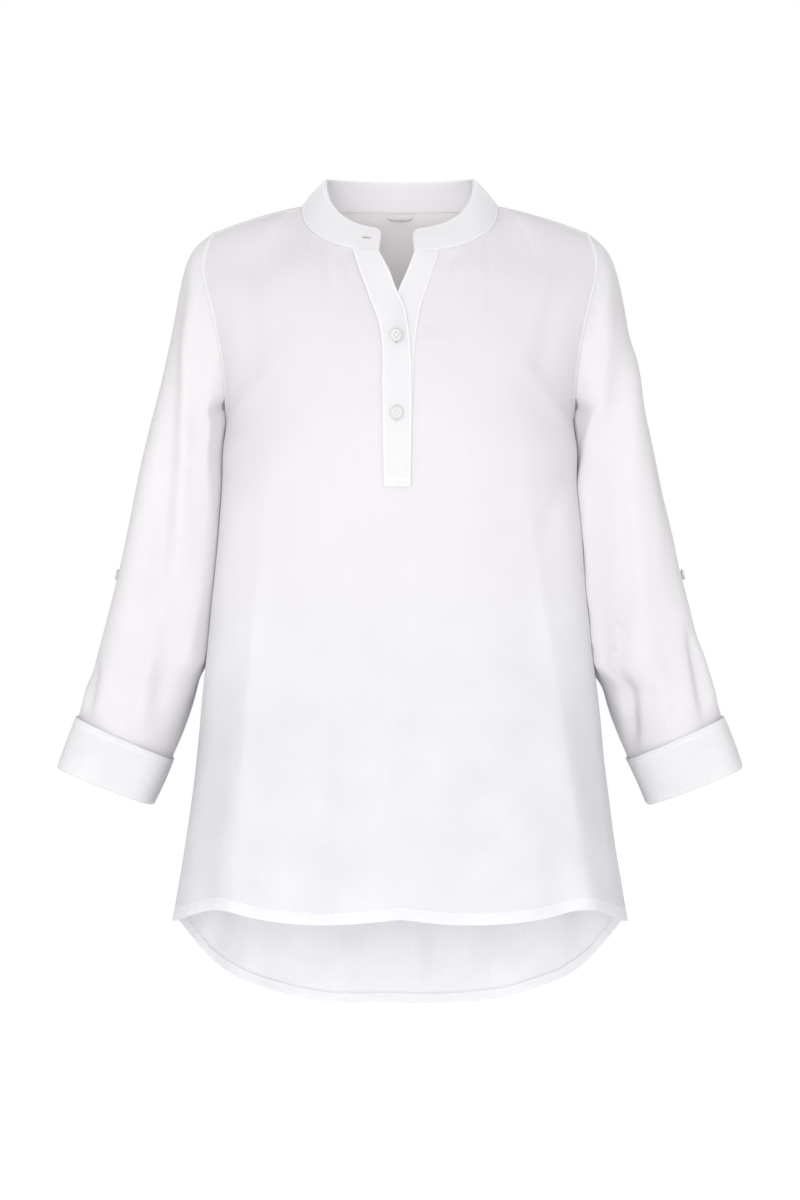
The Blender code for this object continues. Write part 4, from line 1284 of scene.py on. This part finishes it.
# %% Buttonholes
HOLE_WIRE = 0.00045
HOLE_WIDTH = 0.0021
HOLE_RIDGE = 0.0005
CUT_WIDTH, CUT_SHORTER = 0.0006, 0.0024
CUT_LOW, CUT_HIGH = (0, 0, -0.0002), (0, 0, 0.00012)


def framed(place, along, normal):
    """A matrix at a place, with X along the cut and Z out of the cloth."""
    along, normal = Vector(along).normalized(), Vector(normal).normalized()
    side = normal.cross(along).normalized()
    along = side.cross(normal)
    turned = Matrix((along, side, normal)).transposed().to_4x4()
    return Matrix.Translation(Vector(place)) @ turned


def moved(frame_at, points):
    return [frame_at @ Vector(p) for p in points]


def stadium(length, width, count):
    """An even number of points round a long loop with half-round ends."""
    straight, r = length - width, width / 2
    half = []
    for run in np.arange(count // 2) * 2 * (straight + math.pi * r) / count:
        turn = (run - straight) / r - math.pi / 2
        if run < straight:
            half.append((run - straight / 2, -r, 0))
        else:
            half.append((straight / 2 + math.cos(turn) * r, math.sin(turn) * r, 0))
    return np.concatenate([half, -np.array(half)])


def thread_loop(name, path, frame_at, sides=6):
    """A closed ring of thread along a flat loop, thinner at every second point."""
    along = unit(np.roll(path, -1, axis=0) - np.roll(path, 1, axis=0))
    side = np.cross(along, [0.0, 0.0, 1.0])
    thick = np.where(np.arange(len(path)) % 2, HOLE_WIRE, HOLE_WIRE * 0.8)
    up = np.array([0.0, 0.0, 1.0])
    rings = [round_ring(p, 1.3 * s, up, t, sides) for p, s, t in zip(path, side, thick)]
    i, j = (index.ravel() for index in np.indices((len(path), sides)))
    faces = cells(i, (i + 1) % len(path), j, (j + 1) % sides, sides)
    return add_mesh(name, moved(frame_at, np.concatenate(rings)), faces[:, ::-1], DOUBLE)


def buttonhole(name, frame_at, length):
    """The stitched loop and the dark cut inside it."""
    count = 2 * int(length / HOLE_RIDGE)
    ring = thread_loop(name, stadium(length, HOLE_WIDTH, count), frame_at)
    cut = stadium(length - CUT_SHORTER, CUT_WIDTH, 20)
    points, faces = [], []
    add_rings(points, faces, [cut + CUT_LOW, cut + CUT_HIGH])
    return ring, add_mesh(name + "_cut", moved(frame_at, points), faces, CUT_SHADE)


print("a buttonhole's cut is", round(CUT_WIDTH * 1000, 1), "mm wide")


# %% Buttons
BUTTON_SIDES, PIN_SIDES = 48, 16
HOLE_OFFSET = 0.0013
HOLE_RADIUS = 0.00062
HOLE_FLOOR, PIN_TOP = 0.0006, 0.004
CROSS_THREAD = 0.00007
FACE_X, FACE_Y = np.eye(3)[:2]
FOUR = ((1, 1), (-1, 1), (-1, -1), (1, -1))
# From the middle of the underside, round the rim and into the dish: radius less the button's
# own, and height
BUTTON_PROFILE = (
    (-0.0006, 0.0000), (-0.0002, 0.0003), (0.0, 0.0009), (0.0, 0.0017), (-0.0002, 0.0022),
    (-0.0006, 0.0025), (-0.0011, 0.0024), (-0.0016, 0.0020), (-0.0021, 0.0018),
)


def turned_disc(radius):
    """A turned button without its holes."""
    points, faces = [], []
    rings = [
        round_ring(np.array([0.0, 0.0, high]), FACE_X, FACE_Y, radius + less, BUTTON_SIDES)
        for less, high in BUTTON_PROFILE
    ]
    add_rings(points, faces, rings)
    return add_mesh("disc", points, faces, BUTTON_PLASTIC)


def pins():
    """Four round pins that cut the button's holes."""
    points, faces = [], []
    for x, y in FOUR:
        ends = [np.array([x * HOLE_OFFSET, y * HOLE_OFFSET, high]) for high in (HOLE_FLOOR, PIN_TOP)]
        rings = [round_ring(end, FACE_X, FACE_Y, HOLE_RADIUS, PIN_SIDES) for end in ends]
        add_rings(points, faces, rings)
    return add_mesh("pins", points, faces, CUT_SHADE)


def button(name, frame_at, radius):
    disc, tool = turned_disc(radius), pins()
    cut = disc.modifiers.new("holes", "BOOLEAN")
    cut.operation, cut.object, cut.solver = "DIFFERENCE", tool, "EXACT"
    graph = bpy.context.evaluated_depsgraph_get()
    mesh = bpy.data.meshes.new_from_object(disc.evaluated_get(graph))
    for old in (disc, tool):
        bpy.data.objects.remove(old, do_unlink=True)
    mesh.transform(frame_at)
    mesh.shade_smooth()
    mesh.set_sharp_from_angle(angle=math.radians(40))
    return linked(name, mesh)


def add_cord(points, faces, path, radius, sides=6):
    """A closed round cord through the path's points."""
    path = np.array(path)
    along = unit(np.gradient(path, axis=0))
    side = unit(np.cross(along, [0.0, 0.1, 1.0]))
    over = np.cross(side, along)
    add_rings(points, faces, [round_ring(p, s, o, radius, sides) for p, s, o in zip(path, side, over)])


def button_thread(name, frame_at):
    """Two crossed pairs of thread from hole to hole."""
    points, faces = [], []
    share = np.linspace(0.0, 1.0, 9)
    high = 0.0012 + 0.0009 * np.sqrt(np.clip(np.sin(np.pi * share), 0, 1))
    for x, y in FOUR[:2]:
        for lift in (-1, 1):
            way = HOLE_OFFSET * (1 - 2 * share)
            path = np.stack([x * way + lift * 0.00012, y * way, high], axis=1)
            add_cord(points, faces, path, CROSS_THREAD)
    return add_mesh(name, moved(frame_at, points), faces, THREAD_WHITE)


# %% Place them on the placket
# x and z of each button, and how far it has tilted on its thread, in degrees
PLACKET_BUTTONS = ((-0.0030, -0.130, 24), (-0.0030, -0.201, 5))
BUTTON_RADIUS = 0.0060
BUTTON_CLEAR = 0.0004
STRIP_TOP_LEVEL = 0.0022
BUTTONHOLE, COLLAR_BUTTONHOLE = 0.0145, 0.0088


def on_front(x, z, level):
    """A point above the front's surface, with the cloth's downward direction and normal."""
    down = FRONT.down_at(np.array([z]))
    place = FRONT.place_at(down, np.array([x]))
    here, lower = FRONT.at(down, place)[0], FRONT.at(down + 0.01, place)[0]
    out = FRONT.out(down, place)[0]
    return here + out * level, unit(lower - here), out


button_pieces, hole_pieces = [], []
for number, (x, z, tilt) in enumerate(PLACKET_BUTTONS, 1):
    place, fall, out = on_front(x, z, STRIP_TOP_LEVEL)
    flat, tilt = framed(place, fall, out), math.radians(tilt)
    hole_pieces += buttonhole(f"buttonhole_{number}", flat, BUTTONHOLE)
    lean = Matrix.Rotation(math.radians(45), 4, "Z") @ Matrix.Rotation(tilt, 4, "X")
    raised = Vector(out) * (BUTTON_CLEAR + BUTTON_RADIUS * math.sin(tilt) * 0.6)
    spot = Matrix.Translation(raised) @ flat @ lean
    button_pieces.append(button(f"placket_button_{number}", spot, BUTTON_RADIUS))
    button_pieces.append(button_thread(f"placket_button_thread_{number}", spot))

# The collar's own buttonhole lies level, near its end on the wearer's right
COLLAR_HOLE = (-0.0310, -0.0353)
on_face = collar_rings[:FACE_POINTS]
nearest = np.hypot(on_face[..., 0] - COLLAR_HOLE[0], on_face[..., 2] - COLLAR_HOLE[1])
nearest = nearest + (on_face[..., 1] > 0)
row, column = np.unravel_index(np.argmin(nearest), nearest.shape)
out = -collar_in[column]
collar_spot = framed(on_face[row, column] + out * 0.0001, collar_along[column], out)
hole_pieces += buttonhole("buttonhole_collar", collar_spot, COLLAR_BUTTONHOLE)
print(len(button_pieces) // 2, "placket buttons and", len(hole_pieces) // 2, "buttonholes")

# %% [markdown]
# ## Sleeves and cuffs
#
# A sleeve is a tube from the armhole to the wrist, and its end is turned up over a double cuff.
# The tube's first ring is the armhole itself, so the seam closes exactly, and each later ring is
# an oval. Below the armhole its inner corner is moved until it lies on the body's side, as soft
# cloth does. A plain loft of ovals would leave a gap there or cut into the body.

# %% Sleeve surface
SLEEVE_COLUMNS = 110
SLEEVE_ROWS = 118
SIDE_DEPTHS = np.linspace(-0.060, 0.050, 45)
RIGHT_SIDE, LEFT_SIDE = -1, 1
SIDES = ((LEFT_SIDE, "left"), (RIGHT_SIDE, "right"))
# How a sleeve's inner corner meets the body: the gap, how far the corner comes forward, the
# turns over which it leans in, how fast it leaves the body's side in front of SLOPE_BACK, how
# much faster at the underarm, and the heights between which it touches
TOUCH_GAP = 0.0003
CORNER_FORWARD = {RIGHT_SIDE: 0.010, LEFT_SIDE: 0.018}
CORNER_TURNS = {RIGHT_SIDE: (0.52, 0.72), LEFT_SIDE: (0.50, 0.64)}
CORNER_SLOPE = {RIGHT_SIDE: 1.35, LEFT_SIDE: 0.0}
SLOPE_BACK = -0.017
SLOT = {RIGHT_SIDE: 0.0, LEFT_SIDE: 1.2}
TOUCH = {RIGHT_SIDE: (-0.195, -0.420), LEFT_SIDE: (-0.222, -0.430)}
MOST_IN, MOST_OUT = 0.016, 0.012
FULLNESS = 0.0045
CAP_PUCKER = 0.00035


def oval(section, turn, out=0.0):
    """Points of a sleeve section at turns from its top, forward; out widens it all round."""
    x_top, z_top, x_low, z_low, y_top, depth, back, swell = section
    top, low = np.array([x_top, y_top, z_top]), np.array([x_low, y_top + back, z_low])
    half = (top - low) / 2
    half = half * (1 + out / np.linalg.norm(half))
    forward = np.array([0.0, -depth - out, 0.0])
    turn = np.asarray(turn, float)[..., None]
    points = (top + low) / 2 + np.cos(turn) * half + np.sin(turn) * forward
    lower_front = (np.cos(turn) < 0) & (np.sin(turn) > 0)
    corner = np.where(lower_front, np.sin(2 * turn) ** 2, 0.0)
    return points + corner * swell * np.array(CORNER_WAY)


def cuff_section(share):
    return tuple(a + (b - a) * share for a, b in zip(CUFF_TOP, CUFF_FOLD))


def armhole(turns):
    """The armhole's edge at turns from the shoulder, down the front and up the back."""
    share = turns / np.pi
    front = FRONT.seam(np.clip(share, 0, 1) * FRONT.underarm)
    back = BACK.seam(np.clip(2 - share, 0, 1) * BACK.underarm)
    return np.where((share <= 1)[:, None], front, back)


def sleeve_rings(turns):
    rings = [armhole(turns) + np.array([0.0002, 0.0, 0.0])]
    rings += [oval(section, turns) for section in SLEEVE]
    rings += [oval(cuff_section(share), turns, -UNDER_CUFF) for share in (0.0, SLEEVE_END)]
    return np.array(rings)


def body_side(side):
    """How far out the body's side lies, over the rows' levels and over SIDE_DEPTHS."""
    table = []
    for front_row, back_row in zip(front_grid, back_grid):
        points = np.concatenate([front_row, back_row])
        points = points[points[:, 0] * side > 0.1]
        points = points[np.argsort(points[:, 1])]
        table.append(np.interp(SIDE_DEPTHS, points[:, 1], points[:, 0] * side))
    return -front_grid[:, -1, 2], np.array(table)


def table_at(table, row, column):
    """Values between the entries of a table."""
    i = np.minimum(row.astype(int), table.shape[0] - 2)
    j = np.minimum(column.astype(int), table.shape[1] - 2)
    a, b = row - i, column - j
    upper = table[i, j] * (1 - b) + table[i, j + 1] * b
    lower = table[i + 1, j] * (1 - b) + table[i + 1, j + 1] * b
    return upper * (1 - a) + lower * a


def lie_on_body(outer, turns, side):
    """Moves the sleeve's inner front corner in, until it lies against the body's side."""
    levels, table = body_side(side)
    start, end = TOUCH[side]
    outer, z = outer.copy(), outer[..., 2]
    lying = ease(-0.180, -0.200, z) * (1 - ease(end, end - 0.030, z))
    forward = CORNER_FORWARD[side] * lying * ease(start, start - 0.050, z)
    outer[..., 1] -= forward * np.exp(-(((turns / np.pi - 0.70) / 0.17) ** 2))
    y = outer[..., 1]
    row = np.interp(-z, levels, np.arange(len(levels)))
    body_x = table_at(table, row, np.interp(y, SIDE_DEPTHS, np.arange(len(SIDE_DEPTHS))))
    first, full = CORNER_TURNS[side]
    share = ease(first * np.pi, full * np.pi, turns)
    share = share * (1 - ease(0.96 * np.pi, 1.15 * np.pi, turns))
    slope = CORNER_SLOPE[side] + SLOT[side] * (1 - ease(-0.195, start - 0.040, z))
    body_x = body_x + TOUCH_GAP + slope * np.maximum(SLOPE_BACK - y, 0.0)
    outer[..., 0] -= np.clip(outer[..., 0] - body_x, -MOST_OUT, MOST_IN) * share * lying
    return outer


def sleeve_relief(side, front_creases, grid, turns, down):
    """Creases, unevenness and the gathers at the armhole's seam."""
    x, z = grid[..., 0], grid[..., 2]
    front = creased([(side * a, b, side * c, *rest) for a, b, c, *rest in front_creases], x, z)
    forward = ease(-0.25, 0.45, np.sin(turns))
    beside_body = np.exp(-(((turns - 0.88 * np.pi) / 0.5) ** 2))
    uneven = 0.8 * (1 - beside_body) * ripple(grid * np.array([side, 1, 1]) + 0.3 * side)
    outer_front = np.where(turns < np.pi / 2, np.sin(2 * turns) ** 2, 0.0)
    push = 1.3 * front * forward + creased(SLEEVE_BACK, x, z) * (1 - forward) + uneven
    push = push + FULLNESS * outer_front * ease(-0.08, -0.15, z)
    run = lengths(grid, 0)
    free = ease(0.0, 0.025, run) * (1 - 0.85 * ease(8.4, 9.1, down)[:, None])
    near_seam = np.exp(-(((run - 0.004) / 0.006) ** 2))
    return push * free + CAP_PUCKER * np.sin(turns * 38 + 2 * np.sin(turns * 3)) * near_seam, run


def sleeve(side, name, front_creases):
    turns = np.linspace(0.0, 2 * np.pi, SLEEVE_COLUMNS + 1)[:-1]
    rings = sleeve_rings(turns)
    knots = np.arange(len(rings), dtype=float)
    down = np.concatenate([[0.0, 0.02, 0.07], np.linspace(0.12, knots[-1], SLEEVE_ROWS)])
    grid = through(knots, rings, down)
    push, run = sleeve_relief(side, front_creases, grid, turns, down)
    outer = grid - grid_normals(grid, closed=True) * push[..., None]
    outer = lie_on_body(outer, turns, side)
    inner = outer + grid_normals(outer, closed=True) * CLOTH
    around = lengths(np.concatenate([grid, grid[:, :1]], axis=1), 1)
    grain = np.stack([around, np.concatenate([-run, -run[:, :1]], axis=1)], axis=-1)
    flip = np.array([side, 1.0, 1.0])
    outer, inner = outer * flip, inner * flip
    if side > 0:
        outer, inner, grain = outer[:, ::-1], inner[:, ::-1], grain[:, ::-1]
    return shell(name, outer, inner, SLEEVE_CLOTH, grain, np.zeros(outer.shape[:2]), closed=True)


# %% Cuffs
# A way down the cuff's outer face, round the fold, up inside it and back: how far down, as a
# share of the cuff, and how far out from its outer face
CUFF_SECTION = (
    (-0.004, -0.00075), (0.0, -0.0002), (0.006, 0.0), (0.05, 0.0), (0.10, -0.0001),
    (0.25, 0.0), (0.40, 0.0), (0.55, 0.0), (0.70, 0.0), (0.85, 0.0), (0.94, 0.0),
    (0.975, -0.0003), (0.993, -0.0010), (1.0, -0.0022), (1.0, -0.0034), (0.993, -0.0046),
    (0.975, -0.0053), (0.94, -0.0056), (0.85, -0.0056), (0.75, -0.0056), (0.742, -0.0053),
    (0.742, -0.0046), (0.75, -0.0043), (0.90, -0.0043), (0.928, -0.0040), (0.935, -0.0030),
    (0.928, -0.0018), (0.90, -0.0015), (0.55, -0.0015), (0.25, -0.0015), (0.05, -0.0015),
    (0.0, -0.0013),
)
CUFF_TURNS = 120
CUFF_ROUND, CUFF_DEEP = 0.30, 0.052
CUFF_SLACK, CUFF_DENT, CUFF_SQUARE = 0.0009, 0.0005, 0.0055
CUFF_STITCH = 4


def cuff_rings(side):
    turns = np.linspace(0.0, 2 * np.pi, CUFF_TURNS + 1)[:-1]
    square = CUFF_SQUARE * np.sin(2 * turns) ** 2
    rings = []
    for share, out in CUFF_SECTION:
        slack = math.sin(math.pi * min(max(share, 0), 1)) * np.sin(3 * turns + 0.8 * side)
        dent = np.sin(7 * turns + 2.0 * side) * ease(0.3, -0.1, -share + 0.2)
        base = oval(cuff_section(share), turns, out)
        push = CUFF_SLACK * slack + CUFF_DENT * dent + square
        rings.append(base + unit(base - base.mean(axis=0)) * push[:, None])
    return np.array(rings) * np.array([side, 1.0, 1.0])


def cuff(side, name):
    """A hairpin all round: an outer leg over the sleeve's end, a fold and a short inner leg."""
    rings = cuff_rings(side)
    count, width = rings.shape[:2]
    i, j = (index.ravel() for index in np.indices((count, width)))
    low = (i + 1) % count
    faces = cells(i, low, j, (j + 1) % width, width)
    around = np.linspace(0, CUFF_ROUND, width + 1)
    height = np.array([share for share, _ in CUFF_SECTION]) * CUFF_DEEP
    across, at = np.stack([j, j, j + 1, j + 1], axis=1), np.stack([i, low, low, i], axis=1)
    corners = np.stack([around[across], -height[at]], axis=-1)
    if side > 0:
        faces, corners = faces[:, ::-1], corners[:, ::-1]
    made = add_mesh(name, rings.reshape(-1, 3), faces, DOUBLE, corners, np.ones(count * width))
    return made, np.concatenate([rings[CUFF_STITCH], rings[CUFF_STITCH][:1]])


sleeves, cuffs = {}, {}
for (side, name), creases in zip(SIDES, (LEFT_SLEEVE_FRONT, RIGHT_SLEEVE_FRONT)):
    sleeves[name] = sleeve(side, f"sleeve_cloth_{name}", creases)
    band_piece, ring = cuff(side, f"cuff_band_{name}")
    stitch_line = [(ring, unit(ring - ring.mean(axis=0)))]
    cuffs[name] = band_piece, stitches(f"stitches_cuff_{name}", stitch_line, THREAD_WHITE)
print(len(sleeves["left"].data.polygons), "faces on each sleeve")

# %% Sleeve buttons
# How far down the sleeve the button sits, counted in its rings
SLEEVE_BUTTON_DOWN = 6.18
SLEEVE_BUTTON_RADIUS = 0.0050


def sleeve_button(side, name):
    """A small button on the sleeve's outer edge, where a roll-up tab would fasten."""
    rings = sleeve_rings(np.array([0.0]))
    knots = np.arange(len(rings), dtype=float)
    here, below = through(knots, rings[:, 0], [SLEEVE_BUTTON_DOWN, SLEEVE_BUTTON_DOWN + 0.05])
    fall = unit(below - here)
    out = np.array([-fall[2], 0.0, fall[0]])
    flip = np.array([side, 1.0, 1.0])
    spot = framed((here + out * 0.0003) * flip, fall * flip, out * flip)
    return [
        button(f"sleeve_button_disc_{name}", spot, SLEEVE_BUTTON_RADIUS),
        button_thread(f"sleeve_button_thread_{name}", spot),
    ]


sleeve_buttons = {name: sleeve_button(side, name) for side, name in SIDES}
print("a sleeve button at", [round(v, 3) for v in sleeve_buttons["left"][0].data.vertices[0].co])

# %% [markdown]
# ## The label
#
# A short tape folded into a loop is caught in the back neck seam. It carries no words. It is
# laid on the back's own surface a little way inside, so it follows the neck's curve.

# %% Neck label
LABEL_HALF_WIDTH = 0.0125
LABEL_TOP_Z = 0.0034
LABEL_DROP = 0.0066
LABEL_LIFT, LABEL_BULGE = 0.0016, 0.0013
LABEL_THICK = 0.0007
LABEL_EDGE = 0.00028


def neck_label():
    """The loop's visible face, with a dark cord of painted shade along its lower fold."""
    drop, across = np.meshgrid(np.linspace(0, 1, 15), np.linspace(-1, 1, 25), indexing="ij")
    z = LABEL_TOP_Z - LABEL_DROP * drop * (1 - 0.30 * across**4)
    x = LABEL_HALF_WIDTH * across * (1 - 0.05 * drop)
    down = solve(lambda d: -BACK.at(d, 0.02)[..., 2], -z, 0.01, 0.005)
    places = BACK.place_at(down, x)
    surface, out = BACK.at(down, places), BACK.out(down, places)
    bulge = np.sin(np.pi * drop**1.5) * (1 - 0.5 * across**2)
    outer = surface - out * (LABEL_LIFT + LABEL_BULGE * bulge)[..., None]
    outer, out, grain = (grid[:, ::-1] for grid in (outer, out, np.stack([x, z], axis=-1)))
    inner = outer - out * LABEL_THICK
    made = shell("label_loop", outer, inner, BACK_CLOTH, grain, np.zeros(drop.shape))
    points, faces = [], []
    add_cord(points, faces, inner[-1], LABEL_EDGE)
    return made, add_mesh("label_edge", points, faces, EDGE_SHADE)


label, label_edge = neck_label()
print(len(label.data.polygons), "faces on the label")

# %% [markdown]
# ## Fitting to the frame
#
# Each piece rides on the one CAD body and stands for its node.

def fit(piece, slot, *nodes):
    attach(piece, "root")
    if nodes:
        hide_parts(*nodes)


fit(front_piece, "cloth", "front")
fit(back_piece, "cloth", "back")
fit(collar_piece, "double_cloth", "collar")
fit(upper_piece, "double_cloth", "placket_upper")
fit(under_piece, "double_cloth", "placket_under")
fit(label, "label", "neck_label")
fit(label_edge, "label")
for piece in (front_stitches, back_stitches, collar_stitches, upper_stitches, under_stitches):
    fit(piece, "cloth")
for piece in hole_pieces:
    fit(piece, "double_cloth")
for piece in button_pieces:
    fit(piece, "buttons", f"button_{piece.name[-1]}")
for name in ("left", "right"):
    fit(sleeves[name], "cloth", f"sleeve_{name}")
    fit(cuffs[name][0], "double_cloth", f"cuff_{name}")
    fit(cuffs[name][1], "double_cloth")
    for piece in sleeve_buttons[name]:
        fit(piece, "buttons", f"sleeve_button_{name}")

# %% [markdown]
# ## Floor, light and camera
#
# A white blouse on white needs even light from all round, which a white world gives, with a
# little more from in front, so that the cloth that turns away goes softly grey. The camera stands
# level, at the height of the blouse's middle.

# %% Stage
FLOOR_Z, FLOOR_HALF = -1.25, 9.0
FLOOR_GLOW = 0.14
LIGHT_PLACE, LIGHT_TARGET = (-0.35, -4.2, 0.0), (0.0, 0.0, -0.40)
LIGHT_SIZE, LIGHT_POWER = 1.8, 105
WHITE = rgb(1.0, 1.0, 1.0)


def stage_material():
    made, _, shader = start_material("stage_white")
    shader.inputs["Base Color"].default_value = rgb(0.92, 0.92, 0.92)
    shader.inputs["Roughness"].default_value = 0.9
    shader.inputs["Emission Color"].default_value = WHITE
    shader.inputs["Emission Strength"].default_value = FLOOR_GLOW
    return made


def aimed(obj, place, target):
    obj.location = place
    obj.rotation_euler = (Vector(target) - Vector(place)).to_track_quat("-Z", "Y").to_euler()


floor_corners = [(x * FLOOR_HALF, y * FLOOR_HALF, FLOOR_Z) for x, y in FOUR]
add_mesh("floor", floor_corners, [(2, 3, 0, 1)], stage_material())
light = bpy.data.lights.new("front_light", "AREA")
light.shape, light.size, light.energy = "SQUARE", LIGHT_SIZE, LIGHT_POWER
aimed(linked("front_light", light), LIGHT_PLACE, LIGHT_TARGET)
world = bpy.data.worlds.new("studio")
world.use_nodes = True
background = world.node_tree.nodes["Background"]
background.inputs["Color"].default_value = WHITE
background.inputs["Strength"].default_value = 1.0
bpy.context.scene.world = world
bpy.context.scene.view_settings.view_transform = "Standard"
print("one light of", LIGHT_POWER, "W and a white world")

# %% Camera
CAMERA_PLACE = (0.0, -3.2, -0.37145)
SENSOR = 36.0
FRAME_HEIGHT = 1.14

camera = linked("camera", bpy.data.cameras.new("camera"))
camera.data.sensor_width = SENSOR
camera.data.lens = SENSOR * abs(CAMERA_PLACE[1]) / FRAME_HEIGHT
aimed(camera, CAMERA_PLACE, (0.0, 0.0, CAMERA_PLACE[2]))
bpy.context.scene.camera = camera
print("camera lens", round(camera.data.lens, 1), "mm")
